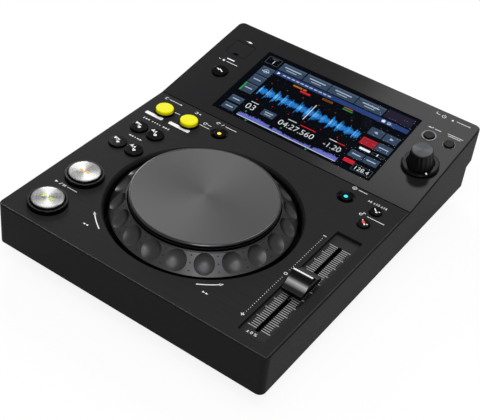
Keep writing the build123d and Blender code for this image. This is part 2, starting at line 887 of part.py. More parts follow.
# Ball bearing of the jog shaft: two races and their balls
shaft_bore = shaft_radius + shaft_bore_clearance
ball_circle_radius = (bearing_radius + shaft_bore) / 2
ball_radius = (bearing_radius - shaft_bore) / 2 - bearing_race - 0.05
with BuildPart() as jog_bearing:
    with BuildSketch(Plane.XY.offset(bearing_bottom_z)):
        with Locations((jog_x, jog_y)):
            Circle(bearing_radius)
            Circle(bearing_radius - bearing_race, mode=Mode.SUBTRACT)
            Circle(shaft_bore + bearing_race)
            Circle(shaft_bore, mode=Mode.SUBTRACT)
    extrude(amount=bearing_width)
    with Locations((jog_x, jog_y, bearing_bottom_z + bearing_width / 2)):
        with PolarLocations(ball_circle_radius, bearing_balls):
            Sphere(ball_radius)
jog_bearing.part.label = "jog_bearing"
export_step(jog_bearing.part, "parts/jog_bearing.step")

# Jog shaft with the groove for its clip
hub_web_top = deck_z
hub_web_z = hub_web_top - hub_web
clip_z = bearing_bottom_z - clip_gap - clip_sheet
with BuildPart() as jog_shaft:
    with BuildSketch(Plane.XY.offset(clip_z - 3 * clip_sheet)):
        with Locations((jog_x, jog_y)):
            Circle(shaft_radius)
    extrude(amount=hub_web_top - clip_z + 3 * clip_sheet)
    with BuildSketch(Plane.XY.offset(clip_z - clip_gap / 2)):
        with Locations((jog_x, jog_y)):
            Circle(shaft_radius)
            Circle(shaft_radius - clip_groove_depth, mode=Mode.SUBTRACT)
    extrude(amount=clip_sheet + clip_gap, mode=Mode.SUBTRACT)
jog_shaft.part.label = "jog_shaft"
export_step(jog_shaft.part, "parts/jog_shaft.step")

with BuildPart() as shaft_clip:
    with BuildSketch(Plane.XY.offset(clip_z)):
        with Locations((jog_x, jog_y)):
            Circle(shaft_bore + bearing_race)
            Circle(shaft_radius - clip_groove_depth + shaft_bore_clearance, mode=Mode.SUBTRACT)
            with Locations((0, shaft_bore)):
                Rectangle(shaft_radius, 2 * shaft_bore, mode=Mode.SUBTRACT)
    extrude(amount=clip_sheet)
shaft_clip.part.label = "shaft_clip"
export_step(shaft_clip.part, "parts/shaft_clip.step")

# Jog hub: boss on the shaft, web under the ring, drum under the top plate and the plate's guide
plate_top_z = deck_z + plate_rise
plate_under_z = plate_top_z - plate_sheet
sensor_top_z = plate_under_z - press_travel - press_gap
drum_top_z = sensor_top_z - sensor_film
ring_inner_z = deck_z + ring_inner_rise
ring_outer_z = deck_z - ring_outer_drop
guide_top_z = hub_web_top + guide_height
with BuildPart() as jog_hub:
    with BuildSketch(Plane.XZ) as hub_profile:
        with BuildLine():
            Polyline(
                (shaft_bore, bearing_top_z + hub_running_gap),
                (hub_boss_radius, bearing_top_z + hub_running_gap),
                (hub_boss_radius, hub_web_z),
                (ring_inner_radius + ring_foot, hub_web_z),
                (ring_inner_radius + ring_foot, hub_web_top),
                (drum_radius, hub_web_top),
                (drum_radius, drum_top_z),
                (drum_radius - drum_wall, drum_top_z),
                (drum_radius - drum_wall, hub_web_top),
                (hub_boss_radius, hub_web_top),
                (hub_boss_radius, guide_top_z),
                (guide_radius + guide_clearance, guide_top_z),
                (guide_radius + guide_clearance, hub_web_top),
                (shaft_bore, hub_web_top),
                close=True,
            )
        make_face()
    revolve(axis=Axis.Z)
    add(jog_hub.part.moved(Location((jog_x, jog_y, 0))), mode=Mode.REPLACE)
jog_hub.part.label = "jog_hub"
export_step(jog_hub.part, "parts/jog_hub.step")

# Finger ring: a slanted band with round dimples and a short skirt into the well
ring_pitch = atan2(ring_inner_z - ring_outer_z, ring_outer_radius - ring_inner_radius)
dimple_sphere = (dimple_radius**2 + dimple_depth**2) / (2 * dimple_depth)
dimple_z = ring_inner_z - (dimple_circle_radius - ring_inner_radius) * tan(ring_pitch)
dimple_lift = dimple_sphere - dimple_depth
ring_drop = ring_thickness / cos(ring_pitch)
foot_radius_out = ring_inner_radius + ring_foot
skirt_inner_radius = ring_outer_radius - ring_thickness
with BuildPart() as jog_ring:
    with BuildSketch(Plane.XZ):
        with BuildLine():
            Polyline(
                (ring_inner_radius, hub_web_top),
                (ring_inner_radius, ring_inner_z),
                (ring_outer_radius, ring_outer_z),
                (ring_outer_radius, ring_outer_z - ring_skirt),
                (skirt_inner_radius, ring_outer_z - ring_skirt),
                (skirt_inner_radius, ring_outer_z - ring_drop),
                (foot_radius_out, hub_web_top),
                close=True,
            )
        make_face()
    revolve(axis=Axis.Z)
    dimple_radius_out = dimple_circle_radius + dimple_lift * sin(ring_pitch)
    with Locations((0, 0, dimple_z + dimple_lift * cos(ring_pitch))):
        with PolarLocations(dimple_radius_out, dimple_count, start_angle=dimple_phase):
            Sphere(dimple_sphere, mode=Mode.SUBTRACT)
    add(jog_ring.part.moved(Location((jog_x, jog_y, 0))), mode=Mode.REPLACE)
jog_ring.part.label = "jog_ring"
export_step(jog_ring.part, "parts/jog_ring.step")

# Touch sensor film on the hub's drum, under the top plate
with BuildPart() as touch_sensor:
    with BuildSketch(Plane.XY.offset(drum_top_z)):
        with Locations((jog_x, jog_y)):
            Circle(drum_radius)
            Circle(drum_radius - drum_wall, mode=Mode.SUBTRACT)
    extrude(amount=sensor_film)
touch_sensor.part.label = "touch_sensor"
export_step(touch_sensor.part, "parts/touch_sensor.step")

# Top plate: thin disc with a rounded rim and a guide pin in the hub
with BuildPart() as jog_plate:
    with BuildSketch(Plane.XY.offset(plate_top_z - plate_rim)):
        with Locations((jog_x, jog_y)):
            Circle(plate_radius)
    extrude(amount=plate_rim)
    top_rim = jog_plate.faces().sort_by(Axis.Z)[-1].edges()
    fillet(top_rim, plate_round)
    with BuildSketch(Plane.XY.offset(plate_top_z - plate_rim)):
        with Locations((jog_x, jog_y)):
            Circle(plate_radius - plate_sheet)
    extrude(amount=plate_rim - plate_sheet, mode=Mode.SUBTRACT)
    with BuildSketch(Plane.XY.offset(hub_web_top + press_travel + 1.0)):
        with Locations((jog_x, jog_y)):
            Circle(guide_radius)
    extrude(amount=plate_under_z - hub_web_top - press_travel - 1.0)
jog_plate.part.label = "jog_plate"
export_step(jog_plate.part, "parts/jog_plate.step")

# Encoder wheel: slotted drum hanging from the hub's web
encoder_bottom_z = hub_web_z - encoder_height
with BuildPart() as encoder_wheel:
    with BuildSketch(Plane.XY.offset(encoder_bottom_z)):
        with Locations((jog_x, jog_y)):
            Circle(encoder_radius + encoder_wall)
            Circle(encoder_radius, mode=Mode.SUBTRACT)
    extrude(amount=encoder_height)
    with BuildSketch(Plane.XY.offset(hub_web_z - encoder_wall)):
        with Locations((jog_x, jog_y)):
            Circle(encoder_radius)
            Circle(encoder_radius - 4 * encoder_wall, mode=Mode.SUBTRACT)
    extrude(amount=encoder_wall)
    with BuildSketch(Plane.XY.offset(encoder_bottom_z)):
        with Locations((jog_x, jog_y)):
            with PolarLocations(encoder_radius + encoder_wall / 2, encoder_slots):
                Rectangle(3 * encoder_wall, encoder_slot_width)
    extrude(amount=encoder_slot_height, mode=Mode.SUBTRACT)
encoder_wheel.part.label = "encoder_wheel"
export_step(encoder_wheel.part, "parts/encoder_wheel.step")

# Light gate that reads the encoder wheel, standing on the well's floor
gate_y = jog_y + encoder_radius + encoder_wall / 2
gate_top_z = encoder_bottom_z + encoder_slot_height
with BuildPart() as encoder_sensor:
    with BuildSketch(Plane.XY.offset(well_floor_z)):
        with Locations((jog_x, gate_y)):
            Rectangle(gate_size, 2 * gate_size - gate_gap)
    extrude(amount=gate_top_z - well_floor_z)
    with BuildSketch(Plane.XY.offset(encoder_bottom_z - gate_gap / 2)):
        with Locations((jog_x, gate_y)):
            Rectangle(gate_size, gate_gap)
    extrude(amount=gate_top_z - encoder_bottom_z + gate_gap / 2, mode=Mode.SUBTRACT)
encoder_sensor.part.label = "encoder_sensor"
export_step(encoder_sensor.part, "parts/encoder_sensor.step")

# Tempo fader: sunk scale plate with its slot, clipped under the case's top wall
fader_under_z = deck_z - wall - fader_sheet
with BuildPart() as fader_plate:
    with BuildSketch(Plane.XY.offset(fader_under_z)):
        with Locations((fader_x, fader_y)):
            RectangleRounded(fader_width + 2 * fader_lip, fader_length + 2 * fader_lip, 1.0)
    extrude(amount=fader_sheet)
    with BuildSketch(Plane.XY.offset(deck_z - wall)):
        with Locations((fader_x, fader_y)):
            RectangleRounded(fader_width - 2 * fader_fit, fader_length - 2 * fader_fit, 0.9)
    extrude(amount=wall - fader_sink)
    with BuildSketch(Plane.XY.offset(fader_under_z)):
        with Locations((fader_x, slot_y)):
            SlotOverall(slot_length, slot_width, rotation=90)
    extrude(amount=wall, mode=Mode.SUBTRACT)
fader_plate.part.label = "fader_plate"
export_step(fader_plate.part, "parts/fader_plate.step")

# Fader frame: folded steel channel under the plate, open at the slot, with two guide rods staked in its ends
frame_length = slot_length + 2 * frame_end + carriage_length
rod_z = fader_under_z - frame_depth / 2 - rod_drop
rod_plane = Plane.XZ.offset(-slot_y)
rod_length = frame_length - 2 * fader_sheet
rod_places = [(fader_x + side * rod_spacing / 2, rod_z) for side in (-1, 1)]
with BuildPart() as fader_frame:
    with BuildSketch(Plane.XY.offset(fader_under_z - frame_depth)):
        with Locations((fader_x, slot_y)):
            Rectangle(frame_width, frame_length)
    extrude(amount=frame_depth)
    with BuildSketch(Plane.XY.offset(fader_under_z - frame_depth + fader_sheet)):
        with Locations((fader_x, slot_y)):
            Rectangle(frame_width - 2 * fader_sheet, frame_length - 2 * fader_sheet)
    extrude(amount=frame_depth - 2 * fader_sheet, mode=Mode.SUBTRACT)
    with BuildSketch(Plane.XY.offset(fader_under_z - fader_sheet)):
        with Locations((fader_x, slot_y)):
            Rectangle(slot_width, slot_length)
    extrude(amount=fader_sheet, mode=Mode.SUBTRACT)
    with BuildSketch(rod_plane):
        with Locations(*rod_places):
            Circle(rod_radius)
    extrude(amount=rod_length / 2, both=True)
fader_frame.part.label = "fader_frame"
export_step(fader_frame.part, "parts/fader_frame.step")

# Carriage on the rods, with the lever that reaches up through the slot
lever_top_z = deck_z + cap_rise - lever_in_cap
with BuildPart() as fader_carriage:
    with BuildSketch(Plane.XY.offset(rod_z - carriage_height / 2)):
        with Locations((fader_x, slot_y)):
            Rectangle(carriage_width, carriage_length)
    extrude(amount=carriage_height)
    with BuildSketch(Plane.XY.offset(rod_z + carriage_height / 2)):
        with Locations((fader_x, slot_y)):
            Rectangle(lever_width, lever_length)
    extrude(amount=lever_top_z - rod_z - carriage_height / 2)
    with BuildSketch(rod_plane):
        with Locations(*rod_places):
            Circle(rod_radius + rod_clearance)
    extrude(amount=carriage_length, both=True, mode=Mode.SUBTRACT)
fader_carriage.part.label = "fader_carriage"
export_step(fader_carriage.part, "parts/fader_carriage.step")

# Fader cap: raised crest across the middle, hollow slopes to both ends, socket for the lever
cap_bottom_z = deck_z + cap_clearance
cap_end_y = cap_length / 2
cap_foot_y = cap_crest / 2 + cap_ridge_run
cap_foot_z = deck_z + cap_rise - cap_ridge_drop
cap_hollow_y = cap_foot_y + 0.4 * (cap_end_y - cap_foot_y)
cap_hollow_z = deck_z + cap_shoulder_rise + 0.36 * (cap_foot_z - deck_z - cap_shoulder_rise)
with BuildPart() as fader_cap:
    with BuildSketch(Plane.YZ.offset(fader_x)):
        with BuildLine(mode=Mode.PRIVATE) as cap_outline:
            Line((-cap_end_y, cap_bottom_z), (-cap_end_y, deck_z + cap_shoulder_rise))
            ThreePointArc(
                (-cap_end_y, deck_z + cap_shoulder_rise),
                (-cap_hollow_y, cap_hollow_z),
                (-cap_foot_y, cap_foot_z),
            )
            Polyline(
                (-cap_foot_y, cap_foot_z),
                (-cap_crest / 2, deck_z + cap_rise),
                (cap_crest / 2, deck_z + cap_rise),
                (cap_foot_y, cap_foot_z),
            )
            ThreePointArc(
                (cap_foot_y, cap_foot_z),
                (cap_hollow_y, cap_hollow_z),
                (cap_end_y, deck_z + cap_shoulder_rise),
            )
            Line((cap_end_y, deck_z + cap_shoulder_rise), (cap_end_y, cap_bottom_z))
            Line((cap_end_y, cap_bottom_z), (-cap_end_y, cap_bottom_z))
        make_face(cap_outline.edges())
    extrude(amount=cap_width / 2, both=True)
    fillet(fader_cap.edges().filter_by(Axis.Z), 0.8)
    add(fader_cap.part.moved(Location((0, slot_y, 0))), mode=Mode.REPLACE)
    with BuildSketch(Plane.XY.offset(cap_bottom_z)):
        with Locations((fader_x, slot_y)):
            Rectangle(lever_width + 2 * lever_fit, lever_length + 2 * lever_fit)
    extrude(amount=lever_top_z + lever_fit - cap_bottom_z, mode=Mode.SUBTRACT)
fader_cap.part.label = "fader_cap"
export_step(fader_cap.part, "parts/fader_cap.step")

# Push buttons: cap through the panel, flange under it, stem into its switch
for button in buttons:
    flange_top = -button.sleeve_depth - flange_gap
    stem_tip = -button.drop + switch_height - stem_insertion
    with BuildPart() as push_button:
        with BuildSketch(button.plane.offset(flange_top)):
            with Locations((button.x, button.y)):
                Circle(button.radius)
        extrude(amount=button.rise - flange_top)
        top_face = push_button.faces().filter_by(button.plane).sort_by(Axis.Z)[-1]
        fillet(top_face.edges(), button.edge_round)
        with BuildSketch(button.plane.offset(flange_top - flange_thickness)):
            with Locations((button.x, button.y)):
                Circle(button.hole_radius + flange_lip)
        extrude(amount=flange_thickness)
        with BuildSketch(button.plane.offset(stem_tip)):
            with Locations((button.x, button.y)):
                Circle(stem_radius)
        extrude(amount=flange_top - flange_thickness - stem_tip)
    push_button.part.label = button.name
    export_step(push_button.part, f"parts/{button.name}.step")

# Collars: raised black rings round play and cue, dished rings round the two lamp buttons
with BuildPart() as button_collars:
    for button in big_buttons:
        sleeve_radius = button.hole_radius + collar_sleeve
        with BuildSketch(deck_plane.offset(-wall)):
            with Locations((button.x, button.y)):
                Circle(sleeve_radius)
        extrude(amount=wall)
        with BuildSketch(deck_plane):
            with Locations((button.x, button.y)):
                Circle(collar_radius)
        extrude(amount=collar_rise)
        with BuildSketch(deck_plane.offset(-wall)):
            with Locations((button.x, button.y)):
                Circle(button.hole_radius)
        extrude(amount=wall + collar_rise, mode=Mode.SUBTRACT)
    for button in lamp_buttons:
        with BuildSketch(deck_plane.offset(-dish_sleeve)):
            with Locations((button.x, button.y)):
                Circle(dish_radius)
        extrude(amount=dish_sleeve)
        with BuildSketch(deck_plane.offset(-dish_sleeve)):
            with Locations((button.x, button.y)):
                Circle(dish_radius + dish_flange)
        extrude(amount=dish_sleeve - wall)
        with Locations((button.x, button.y, deck_z - dish_depth / 2)):
            Cone(button.hole_radius, dish_radius - 0.3, dish_depth, mode=Mode.SUBTRACT)
        with BuildSketch(deck_plane.offset(-dish_sleeve)):
            with Locations((button.x, button.y)):
                Circle(button.hole_radius)
        extrude(amount=dish_sleeve, mode=Mode.SUBTRACT)
button_collars.part.label = "button_collars"
export_step(button_collars.part, "parts/button_collars.step")

# Tact switches on the boards, one under each button
with BuildPart() as tact_switches:
    for button in buttons:
        with BuildSketch(button.plane.offset(-button.drop)):
            with Locations((button.x, button.y)):
                Rectangle(switch_size, switch_size)
        extrude(amount=switch_height)
        stem_room = stem_insertion + button.travel + stem_clearance
        with BuildSketch(button.plane.offset(-button.drop + switch_height)):
            with Locations((button.x, button.y)):
                Circle(stem_radius + stem_clearance)
        extrude(amount=-stem_room, mode=Mode.SUBTRACT)
tact_switches.part.label = "tact_switches"
export_step(tact_switches.part, "parts/tact_switches.step")




# Left button board: along the case's left side and behind the jog well
board_left_x = left_x + board_edge
board_inner_x = left_x + left_board_reach
board_back_y = loop_y + board_back
board_step_y = loop_y - board_step
board_reloop_x = left_x + reloop_from_left + left_board_reloop
with BuildPart() as left_board:
    with BuildSketch(deck_plane.offset(-board_drop)):
        with BuildLine():
            Polyline(
                (board_left_x, play_button.y - big_radius - 6.0),
                (board_left_x, board_back_y),
                (board_reloop_x, board_back_y),
                (board_reloop_x, board_step_y),
                (board_inner_x, board_step_y),
                (board_inner_x, play_button.y - big_radius - 6.0),
                close=True,
            )
        make_face()
        with Locations((jog_x, jog_y)):
            Circle(jog_clear_radius, mode=Mode.SUBTRACT)
        with Locations(*deck_board_screw_places[:3]):
            Circle(screw_hole_radius, mode=Mode.SUBTRACT)
    extrude(amount=-board_thickness)
left_board.part.label = "left_board"
export_step(left_board.part, "parts/left_board.step")

# Right button board: under the vinyl, tempo range and master tempo buttons
board_right_x = right_x - board_edge
vinyl_button = lamp_buttons[1]
with BuildPart() as right_board:
    with BuildSketch(deck_plane.offset(-board_drop)):
        with BuildLine():
            Polyline(
                (vinyl_button.x - switch_size - 3.5, small_buttons[1].y - 2 * switch_size),
                (vinyl_button.x - switch_size - 3.5, board_back_y),
                (board_right_x, board_back_y),
                (board_right_x, small_buttons[1].y - 2 * switch_size),
                close=True,
            )
        make_face()
        with Locations((jog_x, jog_y)):
            Circle(jog_clear_radius, mode=Mode.SUBTRACT)
        with Locations(*deck_board_screw_places[3:]):
            Circle(screw_hole_radius, mode=Mode.SUBTRACT)
    extrude(amount=-board_thickness)
right_board.part.label = "right_board"
export_step(right_board.part, "parts/right_board.step")

# USB board: carries the front USB socket and the stop button's switch
with BuildPart() as usb_board:
    with BuildSketch(display_plane.offset(-usb_board_drop)):
        with Locations((door_x, (stop_up_slope + door_up_slope) / 2 - 2.0)):
            Rectangle(usb_board_width, usb_board_length)
        with Locations(*usb_board_screw_places):
            Circle(screw_hole_radius, mode=Mode.SUBTRACT)
    extrude(amount=-board_thickness)
usb_board.part.label = "usb_board"
export_step(usb_board.part, "parts/usb_board.step")

# Front USB socket: steel shell with a tongue, its mouth in the floor of the well
with BuildPart() as usb_socket:
    with BuildSketch(display_plane.offset(-usb_board_drop)):
        with Locations((door_x, door_up_slope)):
            Rectangle(usb_socket_width, usb_socket_length)
    extrude(amount=usb_socket_height)
    with BuildSketch(display_plane.offset(-usb_socket_drop)):
        with Locations((door_x, door_up_slope)):
            Rectangle(
                usb_socket_width - 2 * usb_socket_sheet, usb_socket_length - 2 * usb_socket_sheet
            )
    extrude(amount=2 - usb_socket_height, mode=Mode.SUBTRACT)
    with BuildSketch(display_plane.offset(-usb_board_drop + 2)):
        with Locations((door_x, door_up_slope + usb_socket_length / 2 - usb_socket_sheet - usb_tongue / 2)):
            Rectangle(usb_socket_width - 2, usb_tongue)
    extrude(amount=usb_socket_height - 3)
usb_socket.part.label = "usb_socket"
export_step(usb_socket.part, "parts/usb_socket.step")

# USB door: lid with pins at its rear edge and a finger notch at its front edge
with BuildPart() as usb_door:
    with BuildSketch(display_plane.offset(-door_thickness)):
        with Locations((door_x, door_up_slope - door_thickness / 4)):
            RectangleRounded(door_width, door_length - door_thickness / 2, door_corner)
        with Locations((door_x, door_hinge_up_slope - door_corner)):
            Rectangle(door_width, 2 * door_corner)
        with Locations((door_x, door_up_slope - door_length / 2)):
            Circle(door_notch_radius, mode=Mode.SUBTRACT)
    extrude(amount=door_thickness)
    with BuildSketch(hinge_plane):
        Circle(door_thickness / 2)
    extrude(amount=door_width / 2, both=True)
    with BuildSketch(hinge_plane):
        Circle(hinge_pin_radius)
    extrude(amount=door_width / 2 + hinge_pin_reach, both=True)
usb_door.part.label = "usb_door"
export_step(usb_door.part, "parts/usb_door.step")

# Touch glass under the window, screen module under the glass
with BuildPart() as touch_glass:
    with BuildSketch(display_plane.offset(-panel_thickness)):
        with Locations((window_x, window_up_slope)):
            RectangleRounded(window_width + 2 * glass_border, window_height + 2 * glass_border, 1.0)
    extrude(amount=-glass_thickness)
touch_glass.part.label = "touch_glass"
export_step(touch_glass.part, "parts/touch_glass.step")

screen_width = window_width + 2 * screen_border
screen_height = window_height + 2 * screen_border
screen_top_drop = panel_thickness + glass_thickness + screen_gap
with BuildPart() as lcd_module:
    with BuildSketch(display_plane.offset(-screen_top_drop)):
        with Locations((window_x, window_up_slope)):
            Rectangle(screen_width, screen_height)
    extrude(amount=-screen_thickness)
lcd_module.part.label = "lcd_module"
export_step(lcd_module.part, "parts/lcd_module.step")

# Bracket: sheet frame that holds the screen up, with four ears on the bosses
with BuildPart() as lcd_bracket:
    with BuildSketch(display_plane.offset(-bracket_drop)):
        with Locations((window_x, window_up_slope)):
            Rectangle(screen_width + 2 * bracket_sheet, screen_height + 2 * bracket_sheet)
            Rectangle(screen_width - 2 * bracket_ear, screen_height - 2 * bracket_ear, mode=Mode.SUBTRACT)
        for ear_x, ear_t in bracket_screw_places:
            side = 1 if ear_x > window_x else -1
            ear_inner_x = window_x + side * (screen_width / 2 - bracket_ear)
            ear_outer_x = ear_x + side * bracket_ear / 2
            with Locations(((ear_inner_x + ear_outer_x) / 2, ear_t)):
                Rectangle(abs(ear_outer_x - ear_inner_x), bracket_ear_length)
        with Locations(*bracket_screw_places):
            Circle(screw_hole_radius, mode=Mode.SUBTRACT)
    extrude(amount=-bracket_sheet)
lcd_bracket.part.label = "lcd_bracket"
export_step(lcd_bracket.part, "parts/lcd_bracket.step")

# Ribbon cable from the main board's connector up to the screen's back
ribbon_y = display_plane.from_local_coords(Vector(0, window_up_slope, -bracket_drop)).Y - ribbon_offset
ribbon_bottom_z = main_board_top + ribbon_connector_height
ribbon_top_z = surface_z(ribbon_y) - bracket_drop / cos(radians(slope)) - ribbon_sheet
with BuildPart() as ribbon_cable:
    with BuildSketch(Plane.XY.offset(ribbon_bottom_z)):
        with Locations((window_x, ribbon_y)):
            Rectangle(ribbon_width, ribbon_sheet)
    extrude(amount=ribbon_top_z - ribbon_bottom_z)
ribbon_cable.part.label = "ribbon_cable"
export_step(ribbon_cable.part, "parts/ribbon_cable.step")

# Selector's board, its encoder body with the bushing, the plunger, the shaft and the knob
with BuildPart() as selector_board:
    with BuildSketch(display_plane.offset(-board_drop)):
        with Locations((selector_x - 1.9, (selector_up_slope + back_up_slope) / 2 - 1.6)):
            Rectangle(selector_board_width, selector_board_length)
        with Locations(*selector_board_screw_places):
            Circle(screw_hole_radius, mode=Mode.SUBTRACT)
    extrude(amount=-board_thickness)
selector_board.part.label = "selector_board"
export_step(selector_board.part, "parts/selector_board.step")

encoder_top_drop = board_drop - encoder_body_height
shaft_bottom_drop = encoder_top_drop + shaft_in_body
plunger_bottom_drop = shaft_bottom_drop + plunger_height
with BuildPart() as selector_encoder:
    with BuildSketch(display_plane.offset(-board_drop)):
        with Locations((selector_x, selector_up_slope)):
            Rectangle(encoder_body, encoder_body)
    extrude(amount=encoder_body_height)
    with BuildSketch(display_plane.offset(-encoder_top_drop)):
        with Locations((selector_x, selector_up_slope)):
            Circle(bushing_radius)
    extrude(amount=encoder_top_drop - bushing_clearance)
    with BuildSketch(display_plane):
        with Locations((selector_x, selector_up_slope)):
            Circle(selector_shaft_radius + selector_bore_clearance)
    extrude(amount=-plunger_bottom_drop - selector_travel - bushing_clearance, mode=Mode.SUBTRACT)
selector_encoder.part.label = "selector_encoder"
export_step(selector_encoder.part, "parts/selector_encoder.step")

with BuildPart() as selector_plunger:
    with BuildSketch(display_plane.offset(-plunger_bottom_drop)):
        with Locations((selector_x, selector_up_slope)):
            Circle(plunger_radius)
    extrude(amount=plunger_height)
selector_plunger.part.label = "selector_plunger"
export_step(selector_plunger.part, "parts/selector_plunger.step")

knob_cap_rise = knob_rise - knob_cap_height
with BuildPart() as selector_shaft:
    with BuildSketch(display_plane.offset(-shaft_bottom_drop)):
        with Locations((selector_x, selector_up_slope)):
            Circle(selector_shaft_radius)
    extrude(amount=shaft_bottom_drop + knob_cap_rise - knob_cap_height)
selector_shaft.part.label = "selector_shaft"
export_step(selector_shaft.part, "parts/selector_shaft.step")

knob_taper = degrees(atan2(knob_radius - knob_top_radius, knob_cap_rise - knob_lift))
with BuildPart() as selector_knob:
    with BuildSketch(display_plane.offset(knob_lift)):
        with Locations((selector_x, selector_up_slope)):
            Circle(knob_radius)
            with PolarLocations(knob_radius + knob_flute_radius / 2, knob_flutes):
                Circle(knob_flute_radius, mode=Mode.SUBTRACT)
    extrude(amount=knob_cap_rise - knob_lift, taper=knob_taper)
    with BuildSketch(display_plane.offset(knob_cap_rise)):
        with Locations((selector_x, selector_up_slope)):
            Circle(knob_top_radius)
    extrude(amount=knob_cap_height - knob_chamfer)
    with BuildSketch(display_plane.offset(knob_rise - knob_chamfer)):
        with Locations((selector_x, selector_up_slope)):
            Circle(knob_top_radius)
    extrude(amount=knob_chamfer, taper=45)
    with BuildSketch(display_plane.offset(knob_lift)):
        with Locations((selector_x, selector_up_slope)):
            Circle(selector_shaft_radius + shaft_bore_clearance)
    extrude(amount=knob_cap_rise - knob_cap_height - knob_lift, mode=Mode.SUBTRACT)
selector_knob.part.label = "selector_knob"
export_step(selector_knob.part, "parts/selector_knob.step")

# Bevelled ring round the selector knob
with BuildPart() as selector_ring:
    with BuildSketch(display_plane):
        with Locations((selector_x, selector_up_slope)):
            Circle(selector_ring_radius)
    extrude(amount=selector_ring_rise - selector_ring_bevel)
    with BuildSketch(display_plane.offset(selector_ring_rise - selector_ring_bevel)):
        with Locations((selector_x, selector_up_slope)):
            Circle(selector_ring_radius)
    extrude(amount=selector_ring_bevel, taper=45)
    with BuildSketch(display_plane.offset(selector_ring_rise)):
        with Locations((selector_x, selector_up_slope)):
            Circle(selector_ring_bore)
    extrude(amount=-selector_ring_rise, mode=Mode.SUBTRACT)
selector_ring.part.label = "selector_ring"
export_step(selector_ring.part, "parts/selector_ring.step")

# Main board with its chips and the connector for the ribbon cable
main_board_rear_y = rear_inner_y - jack_board_margin
chips = [
    (window_x, ribbon_y, ribbon_width + 4.0, 6.0, ribbon_connector_height),
    (-50.0, 70.0, 24.0, 24.0, 2.4),
    (-50.0, 36.0, 14.0, 20.0, 1.4),
    (-20.0, 62.0, 16.0, 16.0, 1.8),
    (34.0, 84.0, 12.0, 12.0, 1.6),
    (56.0, 84.0, 10.0, 14.0, 1.6),
    (40.0, 40.0, 30.0, 6.0, 3.0),
    (0.0, 0.0, 10.0, 22.0, 2.0),
]
with BuildPart() as main_board:
    with BuildSketch(Plane.XY.offset(main_board_z)):
        with Locations((0, (main_board_front_y + main_board_rear_y) / 2)):
            Rectangle(2 * main_board_half_width, main_board_rear_y - main_board_front_y)
        with Locations(*post_places):
            Circle(screw_hole_radius, mode=Mode.SUBTRACT)
    extrude(amount=board_thickness)
    for chip_x, chip_y, chip_width, chip_length, chip_height in chips:
        with BuildSketch(Plane.XY.offset(main_board_top)):
            with Locations((chip_x, chip_y)):
                Rectangle(chip_width, chip_length)
        extrude(amount=chip_height)
main_board.part.label = "main_board"
export_step(main_board.part, "parts/main_board.step")

# Line output jacks: block on the board, two collars through the wall and their barrels
rca_places = [(right_x - rca_from_right + side * rca_pitch / 2, jack_z) for side in (-1, 1)]
with BuildPart() as rca_jacks:
    with BuildSketch(Plane.XZ.offset(-rear_inner_y)):
        with Locations((right_x - rca_from_right, jack_z)):
            Rectangle(2 * rca_pitch, 2 * jack_height)
    extrude(amount=rca_block_depth)
    with BuildSketch(rear_plane):
        with Locations(*rca_places):
            Circle(rca_collar_radius)
    extrude(amount=wall)
    with BuildSketch(rear_plane):
        with Locations(*rca_places):
            Circle(rca_radius)
    extrude(amount=-rca_stick_out)
    with BuildSketch(rear_plane.offset(-rca_stick_out)):
        with Locations(*rca_places):
            Circle(rca_bore_radius)
    extrude(amount=rca_stick_out, mode=Mode.SUBTRACT)
rca_jacks.part.label = "rca_jacks"
export_step(rca_jacks.part, "parts/rca_jacks.step")

# Network jack with an open mouth
lan_centre_z = main_board_top + lan_height / 2
with BuildPart() as lan_jack:
    with BuildSketch(rear_plane):
        with Locations((lan_centre_x, lan_centre_z)):
            Rectangle(lan_width, lan_height)
    extrude(amount=lan_depth)
    with BuildSketch(rear_plane):
        with Locations((lan_centre_x, lan_centre_z)):
            Rectangle(lan_mouth_width, lan_mouth_height)
    extrude(amount=lan_mouth_depth, mode=Mode.SUBTRACT)
lan_jack.part.label = "lan_jack"
export_step(lan_jack.part, "parts/lan_jack.step")

# Rear USB jack: square mouth with its upper corners cut, and a tongue
usb_b_centre_z = main_board_top + usb_b_height / 2
with BuildPart() as usb_b_jack:
    with BuildSketch(rear_plane):
        with Locations((usb_b_centre_x, usb_b_centre_z)):
            Rectangle(usb_b_width, usb_b_height)
    extrude(amount=usb_b_depth)
    with BuildSketch(rear_plane):
        with Locations((usb_b_centre_x, usb_b_centre_z)):
            mouth = Rectangle(usb_b_mouth_width, usb_b_mouth_height)
        chamfer(mouth.vertices().group_by(Axis.Y)[-1], usb_b_mouth_cut)
        with Locations((usb_b_centre_x, usb_b_centre_z)):
            Rectangle(usb_b_tongue_width, usb_b_tongue_height, mode=Mode.SUBTRACT)
    extrude(amount=usb_b_mouth_depth, mode=Mode.SUBTRACT)
usb_b_jack.part.label = "usb_b_jack"
export_step(usb_b_jack.part, "parts/usb_b_jack.step")

# Power inlet: round bore with a centre pin
dc_centre_z = main_board_top + dc_height / 2
with BuildPart() as dc_jack:
    with BuildSketch(rear_plane):
        with Locations((dc_centre_x, dc_centre_z)):
            Rectangle(dc_width, dc_height)
    extrude(amount=dc_depth)
    with BuildSketch(rear_plane):
        with Locations((dc_centre_x, dc_centre_z)):
            Circle(dc_bore_radius)
            Circle(dc_pin_radius, mode=Mode.SUBTRACT)
    extrude(amount=dc_bore_depth, mode=Mode.SUBTRACT)
dc_jack.part.label = "dc_jack"
export_step(dc_jack.part, "parts/dc_jack.step")

